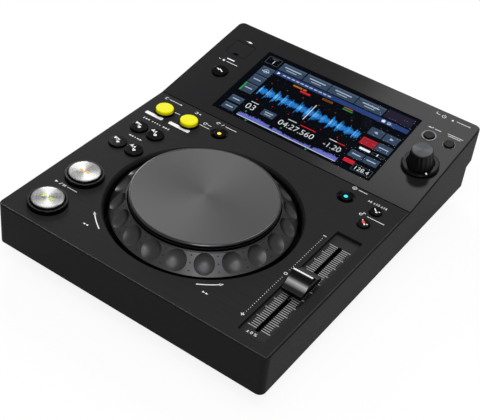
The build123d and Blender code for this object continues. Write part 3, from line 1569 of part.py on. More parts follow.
# Power button in the rear wall, and its switch on the board
power_x = left_x + power_from_left
power_flange_y = rear_inner_y - flange_gap - flange_thickness
power_switch_y = power_flange_y - power_travel - flange_gap
with BuildPart() as power_button:
    with BuildSketch(rear_plane.offset(-power_stick_out)):
        with Locations((power_x, jack_z)):
            Circle(power_radius)
    extrude(amount=power_stick_out + wall + flange_gap + flange_thickness)
    outer_face = power_button.faces().sort_by(Axis.Y)[-1]
    fillet(outer_face.edges(), power_round)
    with BuildSketch(Plane.XZ.offset(-power_flange_y)):
        with Locations((power_x, jack_z)):
            Circle(power_radius + button_gap + flange_lip)
    extrude(amount=-flange_thickness)
    with BuildSketch(Plane.XZ.offset(-power_flange_y)):
        with Locations((power_x, jack_z)):
            Circle(stem_radius)
    extrude(amount=power_flange_y - power_switch_y + stem_insertion)
power_button.part.label = "power_button"
export_step(power_button.part, "parts/power_button.step")

with BuildPart() as power_switch:
    with BuildSketch(Plane.XZ.offset(-power_switch_y)):
        with Locations((power_x, main_board_top + power_switch_size / 2)):
            Rectangle(power_switch_size, power_switch_size)
    extrude(amount=power_switch_depth)
    with BuildSketch(Plane.XZ.offset(-power_switch_y)):
        with Locations((power_x, jack_z)):
            Circle(stem_radius + stem_clearance)
    extrude(amount=stem_insertion + power_travel + stem_clearance, mode=Mode.SUBTRACT)
power_switch.part.label = "power_switch"
export_step(power_switch.part, "parts/power_switch.step")
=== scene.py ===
import math
import random

import bmesh
import bpy
from mathutils import Matrix, Vector


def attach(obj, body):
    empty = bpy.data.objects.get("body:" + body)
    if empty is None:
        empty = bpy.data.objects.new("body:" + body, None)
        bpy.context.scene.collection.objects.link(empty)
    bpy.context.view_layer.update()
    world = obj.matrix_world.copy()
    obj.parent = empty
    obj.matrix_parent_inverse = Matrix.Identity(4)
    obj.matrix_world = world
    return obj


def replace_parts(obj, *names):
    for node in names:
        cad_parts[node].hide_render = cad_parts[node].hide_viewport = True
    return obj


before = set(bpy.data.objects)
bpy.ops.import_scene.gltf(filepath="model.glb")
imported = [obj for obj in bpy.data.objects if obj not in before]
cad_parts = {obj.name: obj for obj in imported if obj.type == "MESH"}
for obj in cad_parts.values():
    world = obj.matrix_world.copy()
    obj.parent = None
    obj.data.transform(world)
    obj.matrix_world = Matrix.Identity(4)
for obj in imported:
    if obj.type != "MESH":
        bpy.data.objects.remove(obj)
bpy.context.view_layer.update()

# A table-top DJ media player on a pale floor. Metres; prints and small parts are given in millimetres on the
# surface that carries them.

MM = 0.001

# Sizes and places in millimetres, as in the CAD: X to the right, Y to the rear, T up the display's slope
DECK_TOP = 49.0
SEAM_Y = 39.0
HOUSING_RISE, HOUSING_RUN = 17.6, 111.5
REAR_WALL_Y = 143.0

# Jog wheel: top plate, and the finger ring that slopes down round it
JOG_X, JOG_Y = -1.2, -58.5
PLATE_TOP, PLATE_RADIUS, PLATE_ROUND = 13.9, 55.0, 1.3
RING_INNER, RING_OUTER = 55.5, 68.3
RING_INNER_TOP, RING_OUTER_TOP = 8.8, -2.8
DIMPLE_COUNT, DIMPLE_PHASE = 20, 0.5

# Keys of the deck
DISC_KEY_X, PLAY_Y, CUE_Y, DISC_KEY_TOP = -89.1, -127.0, -87.2, 5.0
LOOP_IN_X, LOOP_OUT_X, LOOP_Y = -96.3, -72.2, 17.3
BACK_ARROWS_X, NEXT_ARROWS_X, TRACK_Y, SEARCH_Y, ARROW_KEY_TOP = -98.2, -82.4, -13.1, -39.1, 1.8
RELOOP_X, VINYL_X, LIT_KEY_Y, LIT_KEY_TOP = -46.5, 69.6, 22.9, 0.4
TEMPO_KEYS_X, TEMPO_RANGE_Y, MASTER_TEMPO_Y, SMALL_KEY_TOP = 95.8, 21.7, 4.0, 1.5

# Tempo fader
FADER_X, SLOT_Y, FADER_SINK = 95.7, -79.5, 2.2
CAP_RISE, CAP_WIDTH, CAP_CREST = 11.5, 16.0, 2.0

# Display housing: screen window, selector, door and keys
WINDOW_X, WINDOW_T, WINDOW_W, WINDOW_H = 0.6, 51.1, 147.0, 82.6
SCREEN_DROP = 2.7
SELECTOR_X, SELECTOR_T, KNOB_TOP = 96.9, 47.5, 16.5
DOOR_X, DOOR_T = -94.3, 80.6
USB_STOP_X, USB_STOP_T = -92.0, 47.5
BACK_KEY_X, TAG_KEY_X, BACK_KEY_T = 86.8, 104.2, 79.8

# Rear panel, seen from behind, and underside
JACK_Z, PHONO_LEFT_X, PHONO_RIGHT_X, PHONO_REACH = 25.1, -62.0, -48.0, 7.3
LAN_X, LAN_Z = -14.0, 25.35
USB_B_X, DC_X, INLET_Z = 16.0, 46.0, 24.1
POWER_X, LOCK_X = 76.0, -94.0
VENT_Y, VENT_WIDTH, VENT_LENGTH = -43.75, 34.0, 66.0
FOOT_X, FRONT_FOOT_Y, REAR_FOOT_Y = 82.0, -116.5, 109.0

# Surfaces that carry the prints and small parts: local x and y run along them, local z stands off them
slope = math.atan2(HOUSING_RISE, HOUSING_RUN)
sin_slope, cos_slope = math.sin(slope), math.cos(slope)
DECK = Matrix.Translation((0, 0, DECK_TOP))
DISPLAY = Matrix((
    (1, 0, 0, 0),
    (0, cos_slope, -sin_slope, SEAM_Y),
    (0, sin_slope, cos_slope, DECK_TOP),
    (0, 0, 0, 1),
))
REAR = Matrix(((-1, 0, 0, 0), (0, 0, 1, REAR_WALL_Y), (0, 1, 0, 0), (0, 0, 0, 1)))
UNDER = Matrix(((1, 0, 0, 0), (0, -1, 0, 0), (0, 0, -1, 0), (0, 0, 0, 1)))


def on(surface_place, x, y, height=0.0, degrees=0.0):
    """A place on a surface: along it, so high over it, and turned about its upright."""
    return surface_place @ Matrix.Translation((x, y, height)) @ Matrix.Rotation(math.radians(degrees), 4, "Z")


JOG = on(DECK, JOG_X, JOG_Y)
FADER_BED = on(DECK, 0, 0, -FADER_SINK)
SCREEN = on(DISPLAY, WINDOW_X - WINDOW_W / 2, WINDOW_T - WINDOW_H / 2, -SCREEN_DROP)
LAN = on(REAR, LAN_X, LAN_Z)
USB_B = on(REAR, USB_B_X, INLET_Z)
DC = on(REAR, DC_X, INLET_Z)


def linear(hex_colour):
    """An sRGB hex colour as linear RGBA."""
    channels = [int(hex_colour[i:i + 2], 16) / 255 for i in (1, 3, 5)]
    return tuple(c / 12.92 if c <= 0.04045 else ((c + 0.055) / 1.055) ** 2.4 for c in channels) + (1.0,)


def add(tree, kind, settings=(), inputs=()):
    """Adds a node with its settings, its input values and its links."""
    node = tree.nodes.new(kind)
    for key, value in dict(settings).items():
        setattr(node, key, value)
    for key, value in dict(inputs).items():
        if isinstance(value, bpy.types.NodeSocket):
            tree.links.new(value, node.inputs[key])
        else:
            node.inputs[key].default_value = value
    return node


def surface(name, colour, roughness, metallic=0.0, **sockets):
    """A material with one shader, ready for its pattern. Returns the material, its nodes and the shader."""
    material = bpy.data.materials.new(name)
    material.use_nodes = True
    tree = material.node_tree
    tree.nodes.clear()
    shader = add(tree, "ShaderNodeBsdfPrincipled", inputs={
        "Base Color": linear(colour), "Roughness": roughness, "Metallic": metallic,
    })
    for key, value in sockets.items():
        shader.inputs[key.replace("_", " ")].default_value = value
    add(tree, "ShaderNodeOutputMaterial", inputs={"Surface": shader.outputs[0]})
    return material, tree, shader


def lit(name, colour, strength):
    """A lamp, or a patch of the screen, that gives its own light."""
    return surface(name, "#000000", 0.5, Specular_IOR_Level=0.0, Emission_Color=linear(colour),
                   Emission_Strength=strength)[0]


def roughened(tree, shader, pattern, depth_mm, spread, strength):
    """Lets a pattern raise small bumps and spread the gloss to both sides of the shader's own."""
    rough = shader.inputs["Roughness"].default_value
    gloss = add(tree, "ShaderNodeMapRange", inputs={
        "Value": pattern, "From Min": 0.3, "From Max": 0.7,
        "To Min": rough - spread, "To Max": rough + spread,
    }).outputs[0]
    bumps = add(tree, "ShaderNodeBump", inputs={
        "Height": pattern, "Distance": depth_mm * MM, "Strength": strength,
    }).outputs[0]
    tree.links.new(gloss, shader.inputs["Roughness"])
    tree.links.new(bumps, shader.inputs["Normal"])


def grained(tree, shader, grain_mm, depth_mm, spread, stretch=(1, 1, 1)):
    """Gives a moulded, cast or sanded surface its grain: small bumps and a little uneven gloss."""
    place = add(tree, "ShaderNodeTexCoord").outputs["Object"]
    scaled = add(tree, "ShaderNodeMapping", inputs={"Vector": place, "Scale": stretch}).outputs[0]
    grain = add(tree, "ShaderNodeTexNoise", inputs={
        "Vector": scaled, "Scale": 1000 / grain_mm, "Detail": 3.0, "Roughness": 0.6,
    }).outputs["Fac"]
    roughened(tree, shader, grain, depth_mm, spread, 0.6)
    return grain


def finish(name, colour, roughness, metallic=0.0, grain_mm=1.0, depth_mm=0.01, spread=0.05,
           stretch=(1, 1, 1), **sockets):
    """A grained material of one tone."""
    material, tree, shader = surface(name, colour, roughness, metallic, **sockets)
    grained(tree, shader, grain_mm, depth_mm, spread, stretch)
    return material


def two_toned(tree, shader, share, low_tone, high_tone):
    """Colours a surface between two tones, by a pattern that gives the share of the second."""
    tone = add(tree, "ShaderNodeMix", {"data_type": "RGBA"}, {
        "Factor": share, 6: linear(low_tone), 7: linear(high_tone),
    }).outputs[2]
    tree.links.new(tone, shader.inputs["Base Color"])
    return tone


def turned_grain(tree, shader, width_mm, pitch_mm, depth_mm, spread, tones):
    """Gives a lathe-turned or spun face its rings round the piece's own middle, and its streaked gloss."""
    inside = add(tree, "ShaderNodeTexCoord").outputs["Generated"]
    middle = add(tree, "ShaderNodeVectorMath", {"operation": "SUBTRACT"}, {0: inside, 1: (0.5, 0.5, 0.5)})
    flat = add(tree, "ShaderNodeVectorMath", {"operation": "MULTIPLY"}, {0: middle.outputs[0], 1: (1, 1, 0)})
    radius = add(tree, "ShaderNodeVectorMath", {"operation": "LENGTH"}, {0: flat.outputs[0]}).outputs["Value"]
    rings = add(tree, "ShaderNodeTexNoise", {"noise_dimensions": "1D"}, {
        "W": radius, "Scale": width_mm / pitch_mm, "Detail": 4.0, "Roughness": 0.7,
    }).outputs["Fac"]
    around = add(tree, "ShaderNodeTangent", {"direction_type": "RADIAL", "axis": "Z"}).outputs[0]
    roughened(tree, shader, rings, depth_mm, spread, 0.5)
    two_toned(tree, shader, rings, *tones)
    tree.links.new(around, shader.inputs["Tangent"])


def height_share(tree):
    """Height within a piece: 0 at its foot, 1 at its top."""
    inside = add(tree, "ShaderNodeTexCoord").outputs["Generated"]
    return add(tree, "ShaderNodeSeparateXYZ", inputs={0: inside}).outputs["Z"]


# Case: black ABS from a spark-eroded mould, whose fine pits take the shine off it
case_abs = finish(
    "moulded_black_abs", "#141415", 0.5, Specular_IOR_Level=0.05, grain_mm=0.9, depth_mm=0.02, spread=0.08,
)

# Deck: black sheet brushed along X, so that light draws out in level lines; coarser, at 0.55 mm, to show
deck_sheet, tree, shader = surface("brushed_black_sheet", "#1f1f20", 0.42, Specular_IOR_Level=0.012)
hairline = grained(tree, shader, grain_mm=0.55, depth_mm=0.004, spread=0.08, stretch=(0.02, 1, 1))
two_toned(tree, shader, hairline, "#1b1b1c", "#2c2c2d")

# Display panel: smooth black ABS, between silk and gloss
display_abs = finish(
    "satin_black_abs", "#19191b", 0.16, Specular_IOR_Level=0.06, grain_mm=1.6, depth_mm=0.0015, spread=0.02,
)

# Pan: steel sheet under black powder coat, with the coat's orange peel
pan_coat = finish(
    "powder_coated_steel", "#161617", 0.55, Specular_IOR_Level=0.12, grain_mm=2.2, depth_mm=0.04, spread=0.06,
)

# Feet: black rubber, dull, with a powdery bloom
foot_rubber = finish(
    "moulded_rubber", "#161617", 0.8, Specular_IOR_Level=0.1, grain_mm=1.2, depth_mm=0.03, spread=0.08,
)

# Screws: blackened steel, dark with a soft metal shine
screw_steel = finish("blackened_steel", "#3a3a3c", 0.38, 0.9, grain_mm=0.8, depth_mm=0.01, spread=0.08)

# Well and other inner mouldings: flat black ABS
well_abs = finish(
    "flat_black_abs", "#09090a", 0.6, Specular_IOR_Level=0.05, grain_mm=1.0, depth_mm=0.02, spread=0.05,
)

# Shafts and the ball bearing: ground steel, bright with fine turning
ground_steel = finish("ground_steel", "#b4b5b6", 0.25, 1.0, grain_mm=0.7, depth_mm=0.004, spread=0.08)

# Finger ring: dark metallic lacquer on ABS, so that each dimple mirrors the lamps and the black well
ring_lacquer = finish(
    "dark_metallic_lacquer", "#343435", 0.36, 1.0, grain_mm=1.4, depth_mm=0.001, spread=0.02,
)

# Top plate: dark anodised aluminium turned on a lathe; light fans out over it from the middle. Its rings and
# those of the next two faces are wider apart than real ones, to show
plate_aluminium, tree, shader = surface("turned_dark_aluminium", "#3b3b3b", 0.5, 0.85, Anisotropic=0.45)
turned_grain(
    tree, shader, width_mm=2 * PLATE_RADIUS, pitch_mm=1.1, depth_mm=0.003, spread=0.03,
    tones=("#363636", "#403f3f"),
)

# Play and cue faces: bright aluminium spun on a lathe, with a sharp bow-tie of light
disc_aluminium, tree, shader = surface(
    "spun_aluminium", "#6c6c6b", 0.28, 1.0, Anisotropic=0.95, Anisotropic_Rotation=0.25,
)
turned_grain(
    tree, shader, width_mm=23.6, pitch_mm=0.5, depth_mm=0.004, spread=0.05, tones=("#616160", "#777776"),
)

# Knob's cap: the same, darker
knob_cap_aluminium, tree, shader = surface(
    "spun_dark_aluminium", "#303133", 0.3, 1.0, Anisotropic=0.95, Anisotropic_Rotation=0.25,
)
turned_grain(
    tree, shader, width_mm=15.0, pitch_mm=0.45, depth_mm=0.003, spread=0.05, tones=("#242526", "#3b3c3e"),
)

# Keys: polished black polycarbonate, deep and mirror-like
key_polycarbonate = finish(
    "polished_black_polycarbonate", "#040405", 0.14, Specular_IOR_Level=0.03,
    grain_mm=2.5, depth_mm=0.002, spread=0.02,
)

# Collars, risers and small rims: glossy black ABS
collar_abs = finish(
    "glossy_black_abs", "#050506", 0.2, Specular_IOR_Level=0.05, grain_mm=1.5, depth_mm=0.003, spread=0.03,
)

# Fader bed: flat black film; ribs of the fader's cap: black ABS with a soft sheen
bed_film = finish(
    "flat_black_film", "#131314", 0.45, Specular_IOR_Level=0.1, grain_mm=1.0, depth_mm=0.01, spread=0.05,
)
cap_abs = finish(
    "sheened_black_abs", "#070708", 0.3, Specular_IOR_Level=0.08, grain_mm=1.2, depth_mm=0.004, spread=0.03,
)

# Fader cap: black ABS with a painted highlight, a silver band half way up its two slopes by the share of its
# height, standing in for the light that the hollows of the slopes mirror
cap_painted_highlight, tree, shader = surface("abs_with_painted_highlight", "#1a1a1b", 0.3, 0.85)
grained(tree, shader, grain_mm=1.2, depth_mm=0.003, spread=0.03)
painted_highlight_band = ((0.0, "#070708"), (0.34, "#161617"), (0.52, "#929293"), (0.67, "#222223"), (0.78, "#08080a"))
highlight_ramp = add(tree, "ShaderNodeValToRGB", inputs={0: height_share(tree)})
for share, tone in painted_highlight_band:
    stop = highlight_ramp.color_ramp.elements.new(share) if share else highlight_ramp.color_ramp.elements[0]
    stop.color = linear(tone)
highlight_ramp.color_ramp.elements[-1].color = linear("#0a0a0b")
tree.links.new(highlight_ramp.outputs[0], shader.inputs["Base Color"])

# Knob: black soft-touch paint, rubbery and without gloss
knob_rubber = finish(
    "soft_touch_black", "#0b0b0c", 0.4, Specular_IOR_Level=0.15, grain_mm=0.8, depth_mm=0.008, spread=0.06,
)

# Loop keys: clear yellow polycarbonate lit from below, paler yellow at the top and more golden lower down
loop_yellow, tree, shader = surface(
    "lit_yellow_polycarbonate", "#f5f811", 0.3, Specular_IOR_Level=0.1, Emission_Strength=0.1,
)
glow = add(tree, "ShaderNodeMapRange", inputs={
    "Value": height_share(tree), "From Min": 0.7, "From Max": 1.0, "To Min": 1.0, "To Max": 0.0,
}).outputs[0]
yellow = two_toned(tree, shader, glow, "#dcd800", "#ceac00")
tree.links.new(yellow, shader.inputs["Emission Color"])

# Circuit boards: green solder mask over copper tracks
board_mask, tree, shader = surface("solder_mask_green", "#1d5a34", 0.35, Specular_IOR_Level=0.5)
track_pitch_mm = 4.0
place = add(tree, "ShaderNodeTexCoord").outputs["Object"]
tracks = add(tree, "ShaderNodeTexVoronoi", {"distance": "MANHATTAN", "feature": "F1"}, {
    "Vector": place, "Scale": 1000 / track_pitch_mm,
}).outputs["Distance"]
copper = add(tree, "ShaderNodeMapRange", inputs={
    "Value": tracks, "From Min": 0.30, "From Max": 0.36, "To Min": 0.0, "To Max": 1.0,
}).outputs[0]
two_toned(tree, shader, copper, "#256b3e", "#174a2a")

# Moulded electronic parts, plated sheet, white moulding, films
component_black = finish("moulded_component", "#161617", 0.5, grain_mm=0.8, depth_mm=0.01, spread=0.05)
plated_steel = finish("nickel_plated_steel", "#b9b8b2", 0.3, 1.0, grain_mm=1.5, depth_mm=0.005, spread=0.08)
white_acetal = finish("natural_acetal", "#d9d8d2", 0.45, grain_mm=1.5, depth_mm=0.01, spread=0.05)
sensor_film = finish("amber_polyimide_film", "#a5641c", 0.3, grain_mm=1.0, depth_mm=0.004, spread=0.05)
ribbon_film = finish(
    "white_ribbon_film", "#e4e3dc", 0.4, grain_mm=1.0, depth_mm=0.01, spread=0.05, stretch=(1, 1, 0.02),
)
gold_plate = finish("gold_plated_contact", "#d8b25c", 0.25, 1.0, grain_mm=0.6, depth_mm=0.003, spread=0.06)

# Touch glass: clear, its coating and bonded layers mirror next to nothing, so a low IOR stands for the stack
touch_glass, tree, shader = surface("float_glass", "#f4f7f8", 0.0, Transmission_Weight=1.0, IOR=1.02)

# Prints: dull white and grey screen ink
white_ink = finish("white_screen_ink", "#e2e2e0", 0.6, grain_mm=0.5, depth_mm=0.004, spread=0.05)
grey_ink = finish("grey_screen_ink", "#9a9a9b", 0.6, grain_mm=0.5, depth_mm=0.004, spread=0.05)

# Fader's frame with its rods: steel under dark oil
oiled_steel = finish("oiled_dark_steel", "#161617", 0.35, 0.8, grain_mm=0.8, depth_mm=0.003, spread=0.05)

# Painted highlight along the deck sheet's front and right edges: a grey metal strip for the light that the
# sheet's edge catches
painted_edge_highlight = finish("painted_deck_edge_highlight", "#3a3a3b", 0.4, 0.6, grain_mm=0.5, depth_mm=0.002, spread=0.05)

# Rim of the top plate: dark anodised aluminium, polished
rim_aluminium = finish("polished_dark_rim", "#303032", 0.18, 1.0, grain_mm=0.6, depth_mm=0.001, spread=0.03)

# Rings of the back and tag keys: grey satin aluminium
trim_aluminium = finish(
    "satin_grey_aluminium", "#515254", 0.35, 1.0, grain_mm=0.6, depth_mm=0.003, spread=0.05,
)

# Insulators of the phono jacks: white and red mouldings
insulator_white = finish("white_insulator", "#d4d4d0", 0.35, grain_mm=0.6, depth_mm=0.003, spread=0.05)
insulator_red = finish("red_insulator", "#b3121a", 0.35, grain_mm=0.6, depth_mm=0.003, spread=0.05)

# Lamps under marks and lenses
lamp_green = lit("green_lamp", "#c8e84a", 1.2)
lamp_amber = lit("amber_lamp", "#ffb13a", 1.2)
lamp_yellow = lit("yellow_lamp", "#ffd23c", 1.5)
lamp_cyan = lit("cyan_lamp", "#37d8e8", 1.4)
lamp_red = lit("red_lamp", "#ff4040", 1.3)
lamp_white = lit("white_lamp", "#f2f4ff", 1.2)

# Heights of ink and numerals over the surface that carries them
INK_LIFT = 0.03
NUMERAL_LIFT = 0.08


def placed(name, data):
    """An object of a mesh, curve, lamp or camera, in the scene."""
    made = bpy.data.objects.new(name, data)
    bpy.context.collection.objects.link(made)
    return made


def mesh_data(name, mesh, material):
    """A bmesh given in millimetres as mesh data in metres, with its finish."""
    mesh.transform(Matrix.Scale(MM, 4))
    data = bpy.data.meshes.new(name)
    mesh.to_mesh(data)
    mesh.free()
    data.materials.append(material)
    return data


def piece(name, mesh, material, body, smooth_angle=35.0):
    """Makes an object of a bmesh given in millimetres, with its finish, riding on a body."""
    data = mesh_data(name, mesh, material)
    made = placed(name, data)
    if smooth_angle:
        data.shade_smooth()
        data.set_sharp_from_angle(angle=math.radians(smooth_angle))
    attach(made, body)
    return made


def flats(mesh, shapes, place, lift=INK_LIFT):
    """Adds flat printed shapes, lists of (x, y) in order, just above a surface."""
    for shape in shapes:
        corners = [mesh.verts.new(place @ Vector((x, y, lift))) for x, y in shape]
        face = mesh.faces.new(corners)
        face.normal_update()
        if face.normal.dot(place.to_3x3() @ Vector((0, 0, 1))) < 0:
            face.normal_flip()


def turned(mesh, profile, place, steps=96):
    """Turns an open profile of (radius, height) round the local z of a place."""
    rings = []
    for radius, height in profile:
        if radius == 0:
            rings.append([mesh.verts.new(place @ Vector((0, 0, height)))])
            continue
        angles = [2 * math.pi * i / steps for i in range(steps)]
        points = [(radius * math.cos(a), radius * math.sin(a), height) for a in angles]
        rings.append([mesh.verts.new(place @ Vector(point)) for point in points])
    for low, up in zip(rings, rings[1:]):
        for i in range(steps):
            corners = [low[i % len(low)], low[(i + 1) % len(low)], up[(i + 1) % len(up)], up[i % len(up)]]
            corners = list(dict.fromkeys(corners))
            if len(corners) > 2:
                mesh.faces.new(corners)
    bmesh.ops.recalc_face_normals(mesh, faces=mesh.faces)


def turned_piece(name, profile, place, material, body, steps=48, smooth_angle=35.0):
    """A piece made of one turned profile."""
    mesh = bmesh.new()
    turned(mesh, profile, place, steps)
    return piece(name, mesh, material, body, smooth_angle)


def collar_profile(inner, outer, height, foot, inner_bevel, inner_drop, outer_bevel):
    """A standing ring's profile, from its foot inside over its two bevels to its foot outside."""
    return [
        (inner, foot), (inner, height - inner_drop), (inner + inner_bevel, height),
        (outer - outer_bevel, height), (outer, height - outer_bevel), (outer, foot),
    ]


def slab(mesh, outline, low, high, place):
    """Adds a plate of a given outline between two heights over a surface."""
    under = [mesh.verts.new(place @ Vector((x, y, low))) for x, y in outline]
    over = [mesh.verts.new(place @ Vector((x, y, high))) for x, y in outline]
    mesh.faces.new(under[::-1])
    mesh.faces.new(over)
    for i in range(len(outline)):
        j = (i + 1) % len(outline)
        mesh.faces.new([under[i], under[j], over[j], over[i]])
    bmesh.ops.recalc_face_normals(mesh, faces=mesh.faces)


def slab_piece(name, slabs, place, material, body):
    """A piece made of plates, each given by its outline and its two heights."""
    mesh = bmesh.new()
    for outline, low, high in slabs:
        slab(mesh, outline, low, high, place)
    return piece(name, mesh, material, body, smooth_angle=None)


def bar(x0, y0, x1, y1, width):
    """A straight stroke of ink."""
    along = Vector((x1 - x0, y1 - y0)).normalized()
    side = Vector((-along.y, along.x)) * width / 2
    return [
        (x0 - side.x, y0 - side.y), (x1 - side.x, y1 - side.y),
        (x1 + side.x, y1 + side.y), (x0 + side.x, y0 + side.y),
    ]


def rule(x0, x1, y, width):
    """A level stroke of ink."""
    return bar(x0, y, x1, y, width)


def box_of(x, y, width, height):
    """A rectangle round its middle."""
    return [(x - width / 2, y - height / 2), (x + width / 2, y - height / 2),
            (x + width / 2, y + height / 2), (x - width / 2, y + height / 2)]


def span(x0, x1, y0, y1):
    """A rectangle between its edges."""
    return [(x0, y0), (x1, y0), (x1, y1), (x0, y1)]


def frame_of(x0, x1, y0, y1, width):
    """A thin frame along the inside of a rectangle."""
    return [
        span(x0, x1, y0, y0 + width), span(x0, x1, y1 - width, y1),
        span(x0, x0 + width, y0, y1), span(x1 - width, x1, y0, y1),
    ]


def disc(x, y, radius, steps=32):
    """A round spot."""
    angles = [2 * math.pi * i / steps for i in range(steps)]
    return [(x + radius * math.cos(a), y + radius * math.sin(a)) for a in angles]


def triangle(x, y, size, heading):
    """A small arrow head, its point along a heading in degrees."""
    a = math.radians(heading)
    return [(x + size * math.cos(a + k), y + size * math.sin(a + k)) for k in (0, 2.4, -2.4)]


def arc(x, y, radius, width, start, end, steps=40):
    """A curved stroke as a run of four-cornered shapes."""
    inner, outer = radius - width / 2, radius + width / 2
    shapes = []
    for i in range(steps):
        a, b = (math.radians(start + (end - start) * k / steps) for k in (i, i + 1))
        shapes.append([
            (x + reach * math.cos(angle), y + reach * math.sin(angle))
            for reach, angle in ((inner, a), (outer, a), (outer, b), (inner, b))
        ])
    return shapes


def rounded(x, y, width, height, radius, steps=6):
    """A rectangle with round corners."""
    return [
        (x + sx * (width / 2 - radius) + radius * math.cos(math.radians(start + 90 * k / steps)),
         y + sy * (height / 2 - radius) + radius * math.sin(math.radians(start + 90 * k / steps)))
        for sx, sy, start in ((1, 1, 0), (-1, 1, 90), (-1, -1, 180), (1, -1, 270)) for k in range(steps + 1)
    ]


def stadium(length, width, steps=12):
    """A slot with round ends."""
    half, radius = (length - width) / 2, width / 2
    turns = [(x, math.radians(start + 180 * i / steps)) for x, start in ((half, -90), (-half, 90))
             for i in range(steps + 1)]
    return [(x + radius * math.cos(a), radius * math.sin(a)) for x, a in turns]


def sides_of(outline):
    """Pairs of neighbouring corners of a closed outline, by their numbers."""
    return [(i, (i + 1) % len(outline)) for i in range(len(outline))]


def printed(name, shapes, place, material, body, lift=INK_LIFT):
    """A piece of print on a surface."""
    mesh = bmesh.new()
    flats(mesh, shapes, place, lift)
    return piece(name, mesh, material, body, smooth_angle=None)


def numerals(name, text, x, y, size, place, material, thin=-0.012):
    """Plain numerals as a flat piece of the case, their strokes thinned by a share of their size."""
    curve = bpy.data.curves.new(name, "FONT")
    curve.body = text
    curve.size = size
    curve.offset = thin * size
    maker = placed(name + "_curve", curve)
    bpy.context.view_layer.update()
    data = bpy.data.meshes.new_from_object(maker)
    bpy.data.objects.remove(maker)
    mesh = bmesh.new()
    mesh.from_mesh(data)
    bpy.data.meshes.remove(data)
    mesh.transform(place @ Matrix.Translation((x, y, NUMERAL_LIFT)))
    return piece(name, mesh, material, "case", smooth_angle=None)


# CAD nodes take the finishes of the real pieces
finished_nodes = (
    (case_abs, ("upper_case", "display_housing")),
    (deck_sheet, ("deck_panel",)),
    (display_abs, ("display_panel", "usb_door")),
    (pan_coat, ("bottom_pan",)),
    (foot_rubber, ("feet",)),
    (screw_steel, ("screws", "shaft_clip")),
    (well_abs, ("jog_base", "jog_hub", "encoder_wheel")),
    (ground_steel, ("jog_bearing", "jog_shaft", "selector_shaft")),
    (ring_lacquer, ("jog_ring",)),
    (plate_aluminium, ("jog_plate",)),
    (sensor_film, ("touch_sensor",)),
    (component_black, (
        "encoder_sensor", "tact_switches", "lcd_module", "rca_jacks", "dc_jack", "power_switch",
    )),
    (bed_film, ("fader_plate",)),
    (oiled_steel, ("fader_frame",)),
    (white_acetal, ("fader_carriage", "selector_plunger")),
    # Fader cap: its finish carries a painted highlight band on the slopes
    (cap_painted_highlight, ("fader_cap",)),
    (collar_abs, ("play_button", "cue_button", "button_collars", "selector_ring")),
    (loop_yellow, ("loop_in_button", "loop_out_button")),
    (key_polycarbonate, (
        "reloop_button", "vinyl_button", "tempo_range_button", "master_tempo_button", "usb_stop_button",
        "back_button", "tag_button", "track_back_button", "track_next_button", "search_back_button",
        "search_next_button", "power_button",
    )),
    (board_mask, ("left_board", "right_board", "usb_board", "selector_board", "main_board")),
    (plated_steel, ("selector_encoder", "usb_socket", "lcd_bracket", "lan_jack", "usb_b_jack")),
    (knob_rubber, ("selector_knob",)),
    (touch_glass, ("touch_glass",)),
    (ribbon_film, ("ribbon_cable",)),
)
for material, node_names in finished_nodes:
    for node_name in node_names:
        node_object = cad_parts[node_name]
        node_object.data.materials.clear()
        node_object.data.materials.append(material)

# Play and cue: spun faces let into the caps, with small lit marks
FACE_PROFILE = ((0, 0.05), (6.0, 0.06), (10.4, 0.10), (11.5, 0.10), (11.75, 0.0), (11.75, -0.3), (0, -0.3))
FACE_TOP = DISC_KEY_TOP + 0.1
for name, y in (("play", PLAY_Y), ("cue", CUE_Y)):
    turned_piece(f"{name}_face", FACE_PROFILE, on(DECK, DISC_KEY_X, y, DISC_KEY_TOP), disc_aluminium,
                 f"{name}_key", steps=96)
play_mark = [[(-4.6, -1.9), (-1.5, 0), (-4.6, 1.9)], box_of(2.2, 0, 1.0, 3.6), box_of(4.2, 0, 1.0, 3.6)]
printed("play_mark", play_mark, on(DECK, DISC_KEY_X, PLAY_Y, FACE_TOP), lamp_green, "play_key")
cue_mark = [
    [(-4.6, 0.0), (-1.9, -1.3), (-1.9, 1.3)], box_of(0, 0, 1.5, 2.5), [(1.9, -1.3), (4.6, 0.0), (1.9, 1.3)],
]
printed("cue_mark", cue_mark, on(DECK, DISC_KEY_X, CUE_Y, FACE_TOP), lamp_amber, "cue_key")

# Play, cue and loop keys: glossy black risers stand round them, clear of their travel
RISER_BEVEL, RISER_DROP, RISER_ROUND = 0.15, 0.15, 0.3
disc_riser, loop_riser = (12.95, 14.7, 3.9), (7.55, 8.2, 2.1)
mesh = bmesh.new()
for x, y, (inner, outer, height) in (
    (DISC_KEY_X, PLAY_Y, disc_riser), (DISC_KEY_X, CUE_Y, disc_riser),
    (LOOP_IN_X, LOOP_Y, loop_riser), (LOOP_OUT_X, LOOP_Y, loop_riser),
):
    riser = collar_profile(inner, outer, height, 0.02, RISER_BEVEL, RISER_DROP, RISER_ROUND)
    turned(mesh, riser, on(DECK, x, y))
piece("key_risers", mesh, collar_abs, "case")

